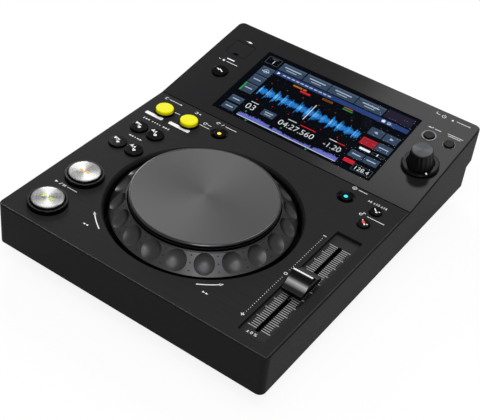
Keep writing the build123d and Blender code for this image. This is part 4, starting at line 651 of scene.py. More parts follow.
# Track and search keys: bold arrows in a slanted row, with a stop at the end; these white marks are partly
# signs and partly painted highlights, the lamps' reflections on the glossy domed caps drawn in white ink
SIGN_SLANT = 45  # in degrees, for all signs on keys
back_arrows = [[(-2.3, 3.6), (1.3, 3.2), (-0.8, 6.2)], [(-1.1, 0.6), (2.6, 1.2), (0.6, 3.6)]]
next_arrows = [[(-0.6, 3.2), (1.2, 5.8), (-2.3, 5.6)], [(0.4, 0.6), (2.6, 3.4), (-1.1, 3.0)]]
stem_and_highlight = box_of(0.1, 1.4, 1.0, 4.4)
track_stop_and_highlight, search_stop_and_highlight = disc(0.2, -1.4, 1.35, 20), box_of(0.2, -1.2, 2.4, 1.8)
for kind, y, stop in (("track", TRACK_Y, track_stop_and_highlight), ("search", SEARCH_Y, search_stop_and_highlight)):
    for way, x, arrows in (("back", BACK_ARROWS_X, back_arrows), ("next", NEXT_ARROWS_X, next_arrows)):
        printed(f"{kind}_{way}_mark", [*arrows, stop, stem_and_highlight], on(DECK, x, y, ARROW_KEY_TOP, SIGN_SLANT),
                white_ink, f"{kind}_{way}_key")

# Lamps of the reloop and vinyl keys, and marks of the small keys; the white marks are partly signs and partly
# painted highlights, reflections on the glossy domed caps drawn in white ink
LENS_PROFILE = ((0, 0.5), (0.9, 0.42), (1.5, 0.15), (1.7, -0.1), (0, -0.1))
for name, x, lamp in (("reloop", RELOOP_X, lamp_yellow), ("vinyl", VINYL_X, lamp_cyan)):
    place = on(DECK, x, LIT_KEY_Y, LIT_KEY_TOP)
    turned_piece(f"{name}_lamp", LENS_PROFILE, place, lamp, f"{name}_key", steps=32)
printed("tempo_range_mark_and_highlight", [box_of(0, 1.3, 0.9, 3.4), disc(0, -1.5, 0.8, 16), disc(2.2, -1.7, 0.6, 12)],
        on(DECK, TEMPO_KEYS_X, TEMPO_RANGE_Y, SMALL_KEY_TOP, SIGN_SLANT), white_ink, "tempo_range_key")
master_tempo_top = on(DECK, TEMPO_KEYS_X, MASTER_TEMPO_Y, SMALL_KEY_TOP, SIGN_SLANT)
printed("master_tempo_lamp", [disc(0, 1.2, 1.2, 20)], master_tempo_top, lamp_red, "master_tempo_key")
master_tempo_mark_and_highlight = [box_of(0, -1.4, 1.2, 1.9), disc(1.9, -1.8, 0.6, 12), box_of(0.2, 3.4, 0.8, 1.2)]
printed("master_tempo_mark_and_highlight", master_tempo_mark_and_highlight, master_tempo_top, white_ink, "master_tempo_key")
printed("usb_stop_mark_and_highlight", [bar(-1.6, 3.2, -0.6, 0.4, 1.0), bar(0.2, 1.6, 1.4, -2.6, 1.0)],
        on(DISPLAY, USB_STOP_X, USB_STOP_T, SMALL_KEY_TOP, SIGN_SLANT), white_ink, "usb_stop_key")

# Strokes of the prints on the deck and the display panel, and a few signs that come more than once
FINE, PLAIN, BOLD = 0.45, 0.5, 0.55


def bracket(left, right, back, low, high):
    """A square bracket, its back at one of its two ends."""
    return [rule(left, right, high, PLAIN), rule(left, right, low, PLAIN), bar(back, high, back, low, PLAIN)]


def turning_arrow(x, y, radius):
    """A round arrow."""
    return arc(x, y, radius, FINE, 40, 330, 16) + [triangle(x + radius, y + 0.9, 0.9, 60)]


def standby_sign(x, y, radius, stroke, gap):
    """An open ring with an upright stroke in its gap."""
    return arc(x, y, radius, stroke, -230, 50, 24) + [bar(x, y + gap, x, y + gap + 1.8, stroke)]


# Deck prints: signs and numerals in the places of the labels, white plates by the loop keys
LABEL_ARROW, LABEL_DOT = 1.25, 0.55
deck_signs = [rounded(-99.5, 8.0, 16.8, 3.5, 1.0), rounded(-75.3, 8.7, 19.8, 3.7, 1.0)]
deck_signs += [rule(-89.9, -84.9, 22.4, PLAIN), rule(-65.3, -55.9, 22.6, PLAIN)]

# Over the track and search keys
track_label_y, search_label_y = 0.5, -24.8
for y, arrows in (
    (track_label_y, ((-101.6, 180), (-99.2, 180), (-84.0, 0), (-81.6, 0))),
    (search_label_y, ((-97.4, 180), (-95.0, 180), (-89.4, 0), (-87.0, 0))),
):
    deck_signs += [triangle(x, y, LABEL_ARROW, heading) for x, heading in arrows]
deck_signs += [box_of(x, track_label_y, 0.6, 2.1) for x in (-103.6, -79.5)]
deck_signs += [disc(-95.2 + 2.4 * i, track_label_y, LABEL_DOT, 12) for i in range(4)]
deck_signs += [disc(-92.2, search_label_y, LABEL_DOT, 12)]

# Beside the play key
play_label_y = -104.6
deck_signs += [triangle(-100.9, play_label_y, 1.5, 0), bar(-97.6, -105.9, -96.0, -103.3, FINE)]
deck_signs += [box_of(x, play_label_y, 0.75, 2.3) for x in (-94.2, -92.6)]
deck_signs += [rule(-90.6, -81.5, play_label_y, BOLD)]

# Over the loop keys, and by the reloop and vinyl keys
deck_signs += bracket(-107.6, -105.6, -107.6, 32.7, 34.9)
deck_signs += [rule(-104.0, -93.0, 33.8, PLAIN), triangle(-92.0, 33.8, 1.1, 0)]
deck_signs += bracket(-77.4, -75.4, -75.4, 32.5, 34.7) + [triangle(-73.2, 33.6, 1.1, 180)]
deck_signs += turning_arrow(-62.6, 26.4, 1.3) + [rule(-60.2, -56.6, 26.4, PLAIN)]
deck_signs += turning_arrow(-55.4, 33.9, 1.2)
deck_signs += [bar(-51.6, 32.8, -50.2, 35.2, FINE), rule(-48.2, -37.6, 33.9, BOLD)]
deck_signs += arc(VINYL_X, 36.2, 1.6, 0.4, 0, 360, 24)
deck_signs += [disc(VINYL_X, 36.2, 0.5, 12), rule(73.0, 80.5, 36.2, BOLD)]

# In front of the wheel: a curved arrow each way, and a double arrow under it
WHEEL_ARROW_RADIUS = 78.4
for start, end, turn, (x, y) in ((-135.1, -122.6, 1, (-53.4, -126.9)), (-57.4, -44.9, -1, (51.0, -127.4))):
    tip = math.radians(start if turn > 0 else end)
    tip_x, tip_y = JOG_X + WHEEL_ARROW_RADIUS * math.cos(tip), JOG_Y + WHEEL_ARROW_RADIUS * math.sin(tip)
    deck_signs += arc(JOG_X, JOG_Y, WHEEL_ARROW_RADIUS, 0.8, start, end)
    deck_signs += [triangle(tip_x, tip_y, 1.7, math.degrees(tip) - turn * 90)]
    deck_signs += [triangle(x + shift, y, 1.2, 90 + turn * 90) for shift in (-1.6, 0.9)]

# Over the master tempo key: a plain note
deck_signs += arc(88.4, 13.0, 1.1, FINE, 0, 360, 16) + [bar(89.4, 13.0, 89.4, 16.2, FINE)]
deck_signs += [bar(89.4, 16.2, 91.2, 15.2, PLAIN), rule(93.4, 107.6, 13.6, BOLD)]
printed("deck_prints", deck_signs, DECK, white_ink, "case")
numerals("tempo_range_numerals", "±6 ±10 ±16", 84.5, 29.2, 3.4, DECK, white_ink, thin=0.0)
numerals("tempo_signs", "± 0 %", 91.2, -138.4, 3.4, DECK, white_ink, thin=0.0)

# Deck sheet: a painted highlight, a fine pale line along the front and the right side, where its edge catches
# the light
edge_highlight_lines = [span(-114.6, 114.6, -149.35, -149.1), span(114.5, 114.65, -149.0, 38.0)]
printed("deck_edge_highlight", edge_highlight_lines, DECK, painted_edge_highlight, "case")

# Tempo scale: fine lines beside the slot, each fifth one longer
SCALE_LINES, SCALE_PITCH, SCALE_TOP_Y, SLOT_MARGIN = 51, 2.03, SLOT_Y + 51.5, 1.8
scale_lines = []
for i in range(SCALE_LINES):
    y = SCALE_TOP_Y - SCALE_PITCH * i
    reach, weight = (8.7, 0.62) if i % 5 == 0 else (7.3, 0.5)
    scale_lines += [rule(FADER_X - reach, FADER_X - SLOT_MARGIN, y, weight)]
    scale_lines += [rule(FADER_X + SLOT_MARGIN, FADER_X + reach, y, weight)]
printed("tempo_scale", scale_lines, FADER_BED, grey_ink, "case")

# Beside the bed: a row of dots with a ring at zero, a minus sign behind it and a plus sign in front
DOT_COUNT, DOT_PITCH, DOTS_X, FIRST_DOT_Y, ZERO_Y, ZERO_GAP = 41, 2.36, 81.3, -123.4, -76.3, 3.0
dot_ys = [FIRST_DOT_Y + DOT_PITCH * i for i in range(DOT_COUNT)]
tempo_dots = [disc(DOTS_X, y, 0.3, 10) for y in dot_ys if abs(y - ZERO_Y) > ZERO_GAP]
tempo_dots += arc(81.2, ZERO_Y, 1.1, FINE, 0, 360, 24)
tempo_dots += [rule(79.9, 82.7, -25.4, BOLD)]
tempo_dots += [rule(79.4, 82.2, -127.1, 0.7), bar(80.8, -128.5, 80.8, -125.7, 0.7)]
printed("tempo_dots", tempo_dots, DECK, white_ink, "case")

# Fader cap: a white line along its ridge, fine ribs down both sides of the ridge
CAP_MARGIN = 0.5
RIB_COUNT, RIB_START, RIB_PITCH, RIB_WIDTH = 4, 0.35, 0.62, 0.28
crest = on(DECK, FADER_X, SLOT_Y, CAP_RISE)
printed("cap_line", [box_of(0, 0, CAP_WIDTH - CAP_MARGIN, 1.3)], crest, white_ink, "fader")
runs = [RIB_START + RIB_PITCH * i for i in range(RIB_COUNT)]
ribs = [
    (box_of(0, side * (CAP_CREST / 2 + run), CAP_WIDTH - CAP_MARGIN, RIB_WIDTH), -run - 0.3, -run + 0.2)
    for side in (-1, 1) for run in runs
]
slab_piece("cap_ribs", ribs, crest, cap_abs, "fader")

# Finger ring: rows of three small pits between the dimples, drawn as flat black discs of painted shade for
# their hollows
PIT_CIRCLES, PIT_RADIUS = (57.8, 61.8, 65.8), 0.5
ring_slope = math.atan2(RING_INNER_TOP - RING_OUTER_TOP, RING_OUTER - RING_INNER)
mesh = bmesh.new()
for i in range(DIMPLE_COUNT):
    row = JOG @ Matrix.Rotation(math.radians(DIMPLE_PHASE + (i + 0.5) * 360 / DIMPLE_COUNT), 4, "Z")
    for radius in PIT_CIRCLES:
        height = RING_INNER_TOP - (radius - RING_INNER) * math.tan(ring_slope)
        place = row @ Matrix.Translation((radius, 0, height)) @ Matrix.Rotation(ring_slope, 4, "Y")
        flats(mesh, [disc(0, 0, PIT_RADIUS, 12)], place)
piece("ring_pit_shades", mesh, well_abs, "jog_wheel", smooth_angle=None)

# Top plate's rim: narrow flats turned round its edge, so that one of them mirrors a lamp along the near side
RIM_PROUD, FACET_PROUD = 0.03, 0.05
round_middle, round_height = PLATE_RADIUS - PLATE_ROUND, PLATE_TOP - PLATE_ROUND
edge = []
for degrees in (0, 12, 24, 35, 55, 66, 78, 90):
    sweep = PLATE_ROUND + (FACET_PROUD if degrees in (35, 55) else RIM_PROUD)
    a = math.radians(degrees)
    edge.append((round_middle + sweep * math.sin(a), round_height + sweep * math.cos(a)))
rim = [(round_middle - 0.5, PLATE_TOP + RIM_PROUD), *edge, (PLATE_RADIUS + RIM_PROUD, PLATE_TOP - 2.6)]
turned_piece("plate_rim", rim, JOG, rim_aluminium, "jog_top", steps=160, smooth_angle=8)

# Finger ring: a lacquered lip along its inner edge
LIP_RADIUS = 0.5
lip_middle, lip_height = RING_INNER + 0.55, RING_INNER_TOP - 0.35
lip_angles = [math.radians(degrees) for degrees in range(0, 181, 15)]
lip = [(lip_middle + LIP_RADIUS * math.cos(a), lip_height + LIP_RADIUS * math.sin(a)) for a in lip_angles]
turned_piece("ring_lip", lip, JOG, ring_lacquer, "jog_wheel", steps=160, smooth_angle=60)

# Selector: spun cap let into the knob, and a white mark on the collar
KNOB_FACE_PROFILE = ((0, 0.03), (5.0, 0.03), (7.4, 0.05), (7.7, 0.01), (7.7, -0.2), (0, -0.2))
COLLAR_TOP = 3.0
knob_top = on(DISPLAY, SELECTOR_X, SELECTOR_T, KNOB_TOP)
turned_piece("knob_face", KNOB_FACE_PROFILE, knob_top, knob_cap_aluminium, "selector",
             steps=64)
printed("knob_ring_mark", [box_of(0, 0, 2.0, 1.2)],
        on(DISPLAY, SELECTOR_X + 9.6, SELECTOR_T - 8.4, COLLAR_TOP, -41), white_ink, "case")

# Phono jacks: plated barrels, coloured insulators and coloured rims round their feet
end = PHONO_REACH
barrel = [(4.16, -1.0), (4.16, end - 0.5), (3.9, end + 0.02), (3.2, end + 0.02), (3.2, end - 1.0)]
insulator = [(3.2, end - 0.3), (3.1, end + 0.01), (2.1, end + 0.01), (1.7, end - 0.6)]
for side, x, ink in (("left", PHONO_LEFT_X, insulator_white), ("right", PHONO_RIGHT_X, insulator_red)):
    place = on(REAR, x, JACK_Z)
    turned_piece(f"barrel_{side}", barrel, place, plated_steel, "case")
    turned_piece(f"insulator_{side}", insulator, place, ink, "case")
    turned_piece(f"collar_{side}", ((5.0, 0.02), (5.0, 0.5), (4.75, 0.6), (4.2, 0.6)), place, ink, "case")

# Network jack: eight gilt contacts under its roof, guides for the plug's latch, and two lamps
CONTACT_COUNT, CONTACT_PITCH, FIRST_CONTACT_X, CONTACT_TOP = 8, 1.02, -3.57, 3.9
contacts = []
for i in range(CONTACT_COUNT):
    x = FIRST_CONTACT_X + CONTACT_PITCH * i
    contacts += [(box_of(x, CONTACT_TOP, 0.5, 0.4), -9.0, -2.0)]
    contacts += [(span(x - 0.25, x + 0.25, CONTACT_TOP - 2.0, CONTACT_TOP), -9.4, -9.0)]
slab_piece("lan_contacts", contacts, LAN, gold_plate, "case")
guides = [(box_of(x, -4.0, 2.2, 0.3), -11.5, -0.3) for x in (-2.4, 2.4)]
guides += [(box_of(0, -3.95, 4.4, 0.5), -11.5, -3.0)]
slab_piece("lan_latch_guides", guides, LAN, component_black, "case")
for tone, x, lamp in (("amber", -5.2, lamp_amber), ("green", 5.2, lamp_green)):
    printed(f"lan_lamp_{tone}", [box_of(x, 5.45, 3.0, 1.5)], LAN, lamp, "case", 0.04)

# USB-B jack: two gilt contacts on each side of its tongue; DC inlet: plated pin and a glossy rim
contacts = [(box_of(x, y, 1.0, 0.14), -8.6, -0.8) for x in (-1.3, 1.3) for y in (-1.66, 1.66)]
slab_piece("usb_b_contacts", contacts, USB_B, gold_plate, "case")
turned_piece("dc_pin_plating", ((0, 0.0), (0.7, -0.05), (1.03, -0.5), (1.03, -9.8)), DC, plated_steel, "case",
             steps=24)
turned_piece("dc_rim", ((3.2, -0.4), (3.3, 0.02), (3.9, 0.05), (4.0, 0.0)), DC, collar_abs, "case")

# Lock slot: a plated lining with a flat brim round its mouth
LIFT, DEPTH = 0.03, -2.4
lock = on(REAR, LOCK_X, JACK_Z)
mouth, brim = stadium(7.0, 3.0), stadium(8.6, 4.6)
faces = []
for i, j in sides_of(mouth):
    faces.append([(*point, LIFT) for point in (mouth[i], brim[i], brim[j], mouth[j])])
for i, j in sides_of(mouth):
    faces.append([(*mouth[i], LIFT), (*mouth[j], LIFT), (*mouth[j], DEPTH), (*mouth[i], DEPTH)])
mesh = bmesh.new()
for corners in faces:
    mesh.faces.new([mesh.verts.new(lock @ Vector(corner)) for corner in corners])
bmesh.ops.remove_doubles(mesh, verts=mesh.verts, dist=0.001)
bmesh.ops.recalc_face_normals(mesh, faces=mesh.faces)
piece("lock_lining", mesh, plated_steel, "case", smooth_angle=None)

# Rear prints: plain signs in the places of the labels, with thin rules
RULE, HAIR = 0.3, 0.25

# Phono jacks: a bracket over both; network jack: a rule and a sign of three linked boxes
rear_signs = [rule(-68.5, -41.5, 33.4, RULE)] + [bar(x, 33.4, x, 32.4, RULE) for x in (-68.5, -41.5)]
rear_signs += [rule(-21.0, -7.0, 35.4, RULE)]
rear_signs += [box_of(x, y, 1.4, 1.0) for x, y in ((LAN_X, 37.4), (-16.6, 39.6), (-11.4, 39.6))]
rear_signs += [bar(LAN_X, 37.8, LAN_X, 38.5, HAIR), rule(-16.6, -11.4, 38.5, HAIR)]
rear_signs += [bar(x, 38.5, x, 39.2, HAIR) for x in (-16.6, -11.4)]

# USB-B jack: a rule and a plug; DC inlet: its poles; power button; lock slot: a padlock
rear_signs += [rule(10.0, 22.0, 32.6, RULE), box_of(USB_B_X, 34.8, 2.2, 1.8), box_of(USB_B_X, 36.2, 1.4, 0.7)]
rear_signs += arc(DC_X, 35.0, 0.75, RULE, 40, 320, 24) + [disc(DC_X, 35.0, 0.32, 12)]
rear_signs += [rule(42.3, 44.9, 35.0, HAIR), rule(46.4, 49.7, 35.0, HAIR)]
rear_signs += [rule(40.6, 41.6, 35.0, RULE), rule(50.2, 51.6, 35.0, RULE), bar(50.9, 34.3, 50.9, 35.7, RULE)]
rear_signs += standby_sign(POWER_X, 33.6, 1.4, 0.35, 0.2)
rear_signs += arc(LOCK_X, 31.4, 0.9, RULE, 0, 180, 16) + [box_of(LOCK_X, 30.5, 2.6, 1.9)]
printed("rear_prints", rear_signs, REAR, grey_ink, "case")

# Power button: a glossy face
power_profile = ((0, 3.52), (2.9, 3.55), (3.3, 3.5))
turned_piece("power_face", power_profile, on(REAR, POWER_X, JACK_Z), collar_abs, "power_key")

# Underside: wire mesh behind the slots, and feet with rings in the rubber
WIRE_PITCH, WIRE_WIDTH = 3.0, 0.35
vent = on(UNDER, 0, -VENT_Y)


def wire_places(length):
    """Places of the wires along a length, in step from its middle."""
    count = int(length / WIRE_PITCH) + 1
    return [WIRE_PITCH * (i - (count - 1) / 2) for i in range(count)]


wires = [(box_of(0, y, VENT_WIDTH, WIRE_WIDTH), -7.2, -6.7) for y in wire_places(VENT_LENGTH)]
wires += [(box_of(x, 0, WIRE_WIDTH, VENT_LENGTH), -7.3, -6.9) for x in wire_places(VENT_WIDTH)]
slab_piece("vent_mesh", wires, vent, screw_steel, "case")
foot_profile = (
    (0, 0.6), (3.0, 0.6), (3.4, 0.0), (4.4, 0.0), (4.8, 0.5), (6.0, 0.5), (6.4, 0.0), (8.3, 0.0), (8.95, 0.5),
    (8.69, 4.5), (2.4, 4.5), (2.4, 6.5), (0, 6.5),
)
mesh = bmesh.new()
for y in (FRONT_FOOT_Y, REAR_FOOT_Y):
    for x in (-FOOT_X, FOOT_X):
        turned(mesh, foot_profile, Matrix.Translation((x, y, 0)), steps=64)
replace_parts(piece("ringed_feet", mesh, foot_rubber, "case"), "feet")

# Display panel: lamps by the door and at the right, signs in the places of the labels
printed("usb_lamp", [box_of(-93.4, 64.9, 7.4, 1.1)], DISPLAY, lamp_white, "case")
printed("standby_lamp", [disc(93.6, 106.0, 0.8, 16)], DISPLAY, lamp_white, "case")
panel_signs = standby_sign(85.8, 106.2, 1.5, FINE, 0.4)
panel_signs += [bar(79.0, 108.6, 79.0, 106.4, FINE), rule(79.0, 82.4, 106.4, FINE)]
panel_signs += [rule(97.0, 109.0, 106.6, BOLD)]
panel_signs += [box_of(-93.2, 92.7, 2.6, 1.7), box_of(-91.3, 92.7, 0.9, 0.9), rule(-96.4, -94.5, 92.7, FINE)]
panel_signs += [rule(-103.0, -101.2, 61.2, 0.6), box_of(-98.0, 61.2, 1.9, 1.9)]
panel_signs += [rule(-95.4, -84.0, 61.2, BOLD), rule(82.2, 85.0, 89.4, FINE), triangle(82.0, 89.4, 1.2, 180)]
panel_signs += [bar(85.0, 89.4, 85.0, 90.8, FINE), rule(86.8, 92.4, 89.4, BOLD)]
panel_signs += [rule(97.6, 111.0, 90.4, PLAIN), rule(99.0, 109.6, 88.6, PLAIN)]
printed("panel_prints", panel_signs, DISPLAY, white_ink, "case")

# USB door: painted shade, a flat black band round its opening, outside the lid's way, for the dark gap round
# the lid
band_t = DOOR_T + 0.25
outer, inner = rounded(DOOR_X, band_t, 21.0, 20.1, 2.0), rounded(DOOR_X, band_t, 19.5, 18.6, 0.4)
gap_shade = [[outer[i], outer[j], inner[j], inner[i]] for i, j in sides_of(outer)]
printed("door_gap_shade", gap_shade, DISPLAY, well_abs, "case")

# Rings round the back, tag and USB stop keys
for name, x, t, inner, outer, height, ring_material in (
    ("back_ring", BACK_KEY_X, BACK_KEY_T, 4.7, 5.9, 0.5, trim_aluminium),
    ("tag_ring", TAG_KEY_X, BACK_KEY_T, 4.5, 5.05, 0.25, trim_aluminium),
    ("stop_ring", USB_STOP_X, USB_STOP_T, 6.95, 7.35, 0.2, collar_abs),
):
    ring = collar_profile(inner, outer, height, foot=0.01, inner_bevel=0.12, inner_drop=0.1, outer_bevel=0.15)
    turned_piece(name, ring, on(DISPLAY, x, t), ring_material, "case", steps=72)

# Screen: a plain player's page with numerals and signs alone, each colour its own flat piece of light

# Heights of its layers; places on it are in millimetres from the window's lower left corner
PAGE, FIELD, FRAME, TAB_TOP, MARK, TOP_MARK = 0.02, 0.04, 0.05, 0.055, 0.06, 0.07


def shown(name, shapes, light_name, colour, lift):
    """A patch of the screen in one colour."""
    return printed(name, shapes, SCREEN, lit(light_name, colour, 1.0), "case", lift)


# Page, tabs along the top and down the left side, fields at the right, and the title
top_tabs = ((17.2, 39.9), (41.2, 64.4), (65.2, 90.4), (91.2, 116.4))
side_tabs = ((56.3, 67.7), (43.8, 55.2), (31.3, 42.7), (16.0, 23.7), (6.0, 13.7))
tabs = [span(left, right, 70.3, 80.3) for left, right in top_tabs]
tabs += [span(4.4, 16.4, low, high) for low, high in side_tabs]
tabs += [
    span(117.2, 129.6, 47.0, 56.0), span(130.6, 143.2, 47.0, 56.0), span(131.0, 143.8, 34.3, 43.3),
    span(117.2, 129.4, 17.2, 25.3), span(130.4, 142.8, 17.2, 25.3), span(35.7, 47.9, 16.3, 23.8),
]
tab_tops = [span(left + 0.3, right - 0.3, 78.6, 80.1) for left, right in top_tabs]
tab_tops += [span(4.7, 16.1, high - 1.2, high - 0.3) for low, high in side_tabs]
shown("screen_page", [span(-1.0, WINDOW_W + 1.0, -1.0, WINDOW_H + 1.0)], "screen_ground", "#0b0d12", PAGE)
shown("screen_tabs", tabs, "screen_slate", "#3a4a5f", FIELD)
shown("screen_tab_tops", tab_tops, "screen_pale_slate", "#50617a", TAB_TOP)
shown("screen_mode_tab", [span(117.6, 142.2, 71.0, 81.8)], "screen_dark_plum", "#262335", FIELD)
shown("screen_title", [span(17.0, 143.5, 64.0, 69.0)], "screen_title_blue", "#2b4279", FIELD)

# Wave of the track, dying away after each beat, and under it the overview with its quiet parts
WAVE_X, WAVE_Y, WAVE_HALF, CORE_HALF, WAVE_PITCH, WAVE_STROKE, BEAT = 19.0, 41.0, 8.6, 3.4, 0.5, 0.42, 15
OVERVIEW_X, OVERVIEW_Y, OVERVIEW_HEIGHT = 20.7, 5.9, 5.2
WAVE_STROKES, OVERVIEW_STROKES = 190, 186
rng = random.Random(7)
wave, wave_cores, overview = [], [], []
for i in range(WAVE_STROKES):
    beat = 1.0 - 0.72 * ((i % BEAT) / BEAT) ** 0.6
    level = min(1.0, max(0.14, beat * rng.uniform(0.45, 1.15)))
    x = WAVE_X + WAVE_PITCH * i
    up = WAVE_HALF * level * rng.uniform(0.85, 1.0)
    wave.append(span(x, x + WAVE_STROKE, WAVE_Y - WAVE_HALF * level, WAVE_Y + up))
    if level > 0.55:
        wave_cores.append(span(x, x + WAVE_STROKE, WAVE_Y - CORE_HALF * level, WAVE_Y + CORE_HALF * level))
for i in range(OVERVIEW_STROKES):
    swell = min(1.0, 0.55 + 0.25 * math.sin(i * 0.045) + rng.uniform(-0.12, 0.22))
    quiet = 0.35 if 58 < i < 66 or 136 < i < 142 else 1.0
    x = OVERVIEW_X + WAVE_PITCH * i
    overview.append(span(x, x + WAVE_PITCH, OVERVIEW_Y, OVERVIEW_Y + OVERVIEW_HEIGHT * (swell * quiet)))
shown("screen_wave", wave, "screen_wave_blue", "#2a86dc", FIELD)
shown("screen_wave_cores", wave_cores, "screen_wave_cyan", "#7cc8f4", TAB_TOP)
shown("screen_overview", overview, "screen_overview_lilac", "#6a70c4", FIELD)

# White marks: the playing line, the foot of the overview, the tempo slider, a pointer and small signs
white_marks = [span(67.2, 67.8, 31.0, 51.5), span(20.7, 113.7, 5.4, 5.9), span(121.0, 130.4, 28.7, 31.0)]
white_marks += [[(19.4, 68.2), (19.4, 65.0), (22.0, 66.6)], span(119.5, 122.4, 65.2, 67.9)]
white_marks += arc(126.2, 66.4, 1.2, 0.5, 0, 360, 16)
white_marks += [span(22.0, 29.0, 24.6, 25.2), span(58.0, 66.0, 24.2, 24.8), span(97.0, 104.0, 24.2, 24.8)]
white_marks += [box_of(137.0, 30.0, 0.8, 2.6)]
shown("screen_white_marks", white_marks, "screen_white", "#f2f4f8", TOP_MARK)

# Pale blue marks: dashes on the tabs and fields, arrows, a dial, and the title's row of dashes
pale_marks = []
for left, right in ((20.5, 36.5), (45.0, 60.5), (70.0, 85.5), (96.0, 111.5)):
    pale_marks += [span(left, right, 75.6, 76.7), span(left + 3.0, right - 3.0, 73.0, 73.7)]
pale_marks += [span(6.8, 13.8, (low + high) / 2 - 0.5, (low + high) / 2 + 0.5) for low, high in side_tabs]
pale_marks += [span(119.5, 127.2, 20.8, 21.8), span(132.6, 140.6, 20.8, 21.8), span(133.2, 141.6, 38.2, 39.2)]
pale_marks += [span(38.0, 45.6, 20.6, 21.5), span(38.8, 44.8, 18.3, 19.0)]
pale_marks += [triangle(123.0, 51.5, 1.9, 180), triangle(137.2, 51.5, 1.9, 0)]
pale_marks += arc(10.5, 62.6, 2.2, 0.5, 0, 360, 24) + [disc(10.5, 62.6, 0.8, 12)]
pale_marks += [span(24.5 + 4.4 * i, 27.6 + 4.4 * i, 65.9, 67.1) for i in range(11)]
shown("screen_cool_marks", pale_marks, "screen_pale_blue", "#b9c6d8", TOP_MARK)

# Red, orange and green marks: fields, bars, and a dot under or over each bar of the wave
BAR_PITCH, BAR_COUNT = 15.4, 6
red_marks = [span(47.2, 56.8, 57.2, 59.4), span(117.6, 130.4, 34.3, 42.4), span(117.4, 126.6, 10.3, 14.4)]
red_marks += [span(69.5, 84.0, 24.0, 24.9), span(104.8, 111.0, 24.0, 24.9)]
red_marks += [disc(24.0 + BAR_PITCH * i, 29.4, 0.5, 8) for i in range(BAR_COUNT)]
shown("screen_red_marks", red_marks, "screen_red", "#cf2330", MARK)
shown("screen_dark_red", [span(118.2, 129.8, 35.0, 41.6)], "screen_dark_red", "#9c2430", TOP_MARK)
orange_marks = [span(38.6, 47.2, 60.2, 62.1)] + frame_of(67.2, 76.6, 60.1, 61.9, 0.4)
orange_marks += [span(48.2, 51.4, 60.2, 62.1), span(86.6, 95.0, 62.0, 63.0)]
orange_marks += [disc(23.0 + BAR_PITCH * i, 52.6, 0.45, 8) for i in range(BAR_COUNT)]
shown("screen_orange_marks", orange_marks, "screen_orange", "#b0691f", MARK)
green_marks = [span(4.4, 5.8, 31.3, 42.7), span(86.6, 96.0, 59.8, 60.8)]
green_marks += [disc(x, y, 0.8, 10) for x, y in ((25.0, 12.6), (59.0, 12.4), (31.0, 3.6), (88.0, 3.6))]
shown("screen_green_marks", green_marks, "screen_green", "#2f9a55", MARK)

# Grey frames: round the tempo slider, the deck's number and the speed
grey_frames = frame_of(132.2, 143.2, 28.6, 31.2, 0.3) + frame_of(2.2, 14.9, 72.1, 81.3, 0.3)
grey_frames += frame_of(127.2, 143.8, 5.6, 12.7, 0.3) + [span(5.6, 11.6, 79.0, 79.8)]
shown("screen_grey_marks", grey_frames, "screen_grey", "#5a626e", FRAME)

# Numerals: the deck's number, the track, its time, the tempo and the speed
for name, text, x, y, size in (
    ("screen_deck", "1", 7.6, 73.4, 6.6), ("screen_track", "03", 20.6, 16.0, 9.2),
    ("screen_time", "04:27.560", 53.0, 15.2, 8.4), ("screen_tempo", "-1.20", 95.2, 15.4, 7.8),
    ("screen_speed", "128.4", 128.6, 6.9, 6.0),
):
    numerals(name, text, x, y, size, SCREEN, bpy.data.materials["screen_white"])

# Camera, matched to the photograph: place and turn in the part's own frame, the rest in the photo's pixels
PHOTO_WIDTH_PX, PHOTO_HEIGHT_PX = 480, 420
FOCAL_PX, CENTRE_X_PX, CENTRE_Y_PX = 1132.815, 217.984, 204.795
SENSOR_MM = 36.0
camera_data = bpy.data.cameras.new("camera")
camera_data.sensor_fit = "HORIZONTAL"
camera_data.sensor_width = SENSOR_MM
camera_data.lens = FOCAL_PX / PHOTO_WIDTH_PX * SENSOR_MM
camera_data.shift_x = (PHOTO_WIDTH_PX / 2 - CENTRE_X_PX) / PHOTO_WIDTH_PX
camera_data.shift_y = (CENTRE_Y_PX - PHOTO_HEIGHT_PX / 2) / PHOTO_WIDTH_PX
camera_data.clip_start = 0.01
camera = placed("camera", camera_data)
camera.matrix_world = Matrix((
    (0.80701848, -0.42617423, 0.40877463, 0.33876149),
    (0.58487832, 0.48133502, -0.65286595, -0.58312560),
    (0.0814771, 0.76595831, 0.63770632, 0.57172121),
    (0.0, 0.0, 0.0, 1.0),
))
bpy.context.scene.camera = camera


def backdrop_seen(tree, *kinds_of_ray):
    """1 for the rays by which the backdrop is seen, 0 for those that carry its light to the object."""
    rays = add(tree, "ShaderNodeLightPath").outputs
    seen = rays[kinds_of_ray[0]]
    for kind in kinds_of_ray[1:]:
        seen = add(tree, "ShaderNodeMath", {"operation": "MAXIMUM"}, {0: seen, 1: rays[kind]}).outputs[0]
    return seen


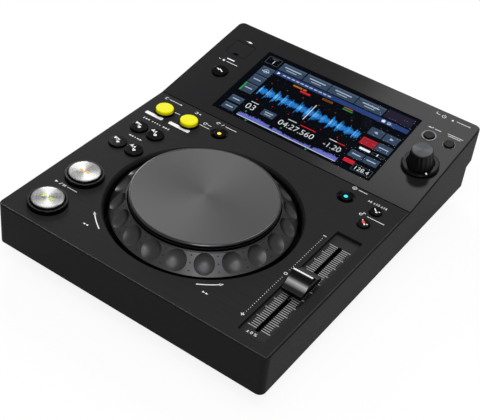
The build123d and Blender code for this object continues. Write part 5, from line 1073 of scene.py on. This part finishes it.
# Floor: matt white, plain where the camera sees it, with the object's soft shadow
FLOOR_SIZE, FLOOR_DROP, FLOOR_PALENESS = 8000.0, 0.3, 0.88
floor_paint, tree, shader = surface("matt_white_floor", "#f6f6f6", 0.9, Specular_IOR_Level=0.1)
seen = backdrop_seen(tree, "Is Camera Ray", "Is Transmission Ray")
paleness = add(tree, "ShaderNodeMath", {"operation": "MULTIPLY"}, {0: seen, 1: FLOOR_PALENESS}).outputs[0]
white = add(tree, "ShaderNodeEmission", inputs={"Color": (1, 1, 1, 1), "Strength": 1.0}).outputs[0]
both = add(tree, "ShaderNodeMixShader", inputs={0: paleness, 1: shader.outputs[0], 2: white}).outputs[0]
tree.links.new(both, tree.nodes["Material Output"].inputs["Surface"])
mesh = bmesh.new()
flats(mesh, [box_of(0, 0, FLOOR_SIZE, FLOOR_SIZE)], Matrix.Identity(4), -FLOOR_DROP)
floor = placed("floor", mesh_data("floor", mesh, floor_paint))

# World: white where it is seen or mirrored, softer as a light
world = bpy.data.worlds.new("studio")
bpy.context.scene.world = world
world.use_nodes = True
tree = world.node_tree
tree.nodes.clear()
seen = backdrop_seen(tree, "Is Camera Ray", "Is Transmission Ray", "Is Glossy Ray")
strength = add(tree, "ShaderNodeMapRange", inputs={"Value": seen, "To Min": 0.22, "To Max": 1.0}).outputs[0]
background = add(tree, "ShaderNodeBackground", inputs={"Color": (1, 1, 1, 1), "Strength": strength})
add(tree, "ShaderNodeOutputWorld", inputs={"Surface": background.outputs[0]})


def softbox(name, place, aim, along, width, height, power):
    """A studio softbox at a place, facing a point, its width along a direction; metres and watts."""
    data = bpy.data.lights.new(name, "AREA")
    data.shape = "RECTANGLE"
    data.size, data.size_y = width, height
    data.energy = power
    back = (Vector(place) - Vector(aim)).normalized()
    side = Vector(along)
    side = (side - side.dot(back) * back).normalized()
    turn = Matrix((side, back.cross(side), back)).transposed()
    placed(name, data).matrix_world = Matrix.Translation(place) @ turn.to_4x4()


# Lamps: one wide and soft overhead, one behind, one for the play and cue faces, one for the wheel's near side
deck_middle = (0, -0.06, 0.05)
softbox("overhead_softbox", (0.38, -0.36, 1.35), deck_middle, (1, 0, 0), 1.2, 1.2, 15.0)
softbox("rear_softbox", (-0.31, 1.02, 1.30), (-0.31, 1.02, 0.0), (1, 0, 0), 0.43, 0.45, 5.0)
softbox("disc_softbox", (-1.08, 0.95, 0.73), (-0.09, -0.107, 0.054), (0.729, 0.684, 0), 0.22, 0.7, 9.0)
softbox("front_softbox", (0.55, -0.90, 1.15), deck_middle, (0.865, 0.5, 0), 0.45, 0.2, 3.6)

bpy.context.scene.view_settings.view_transform = "Standard"
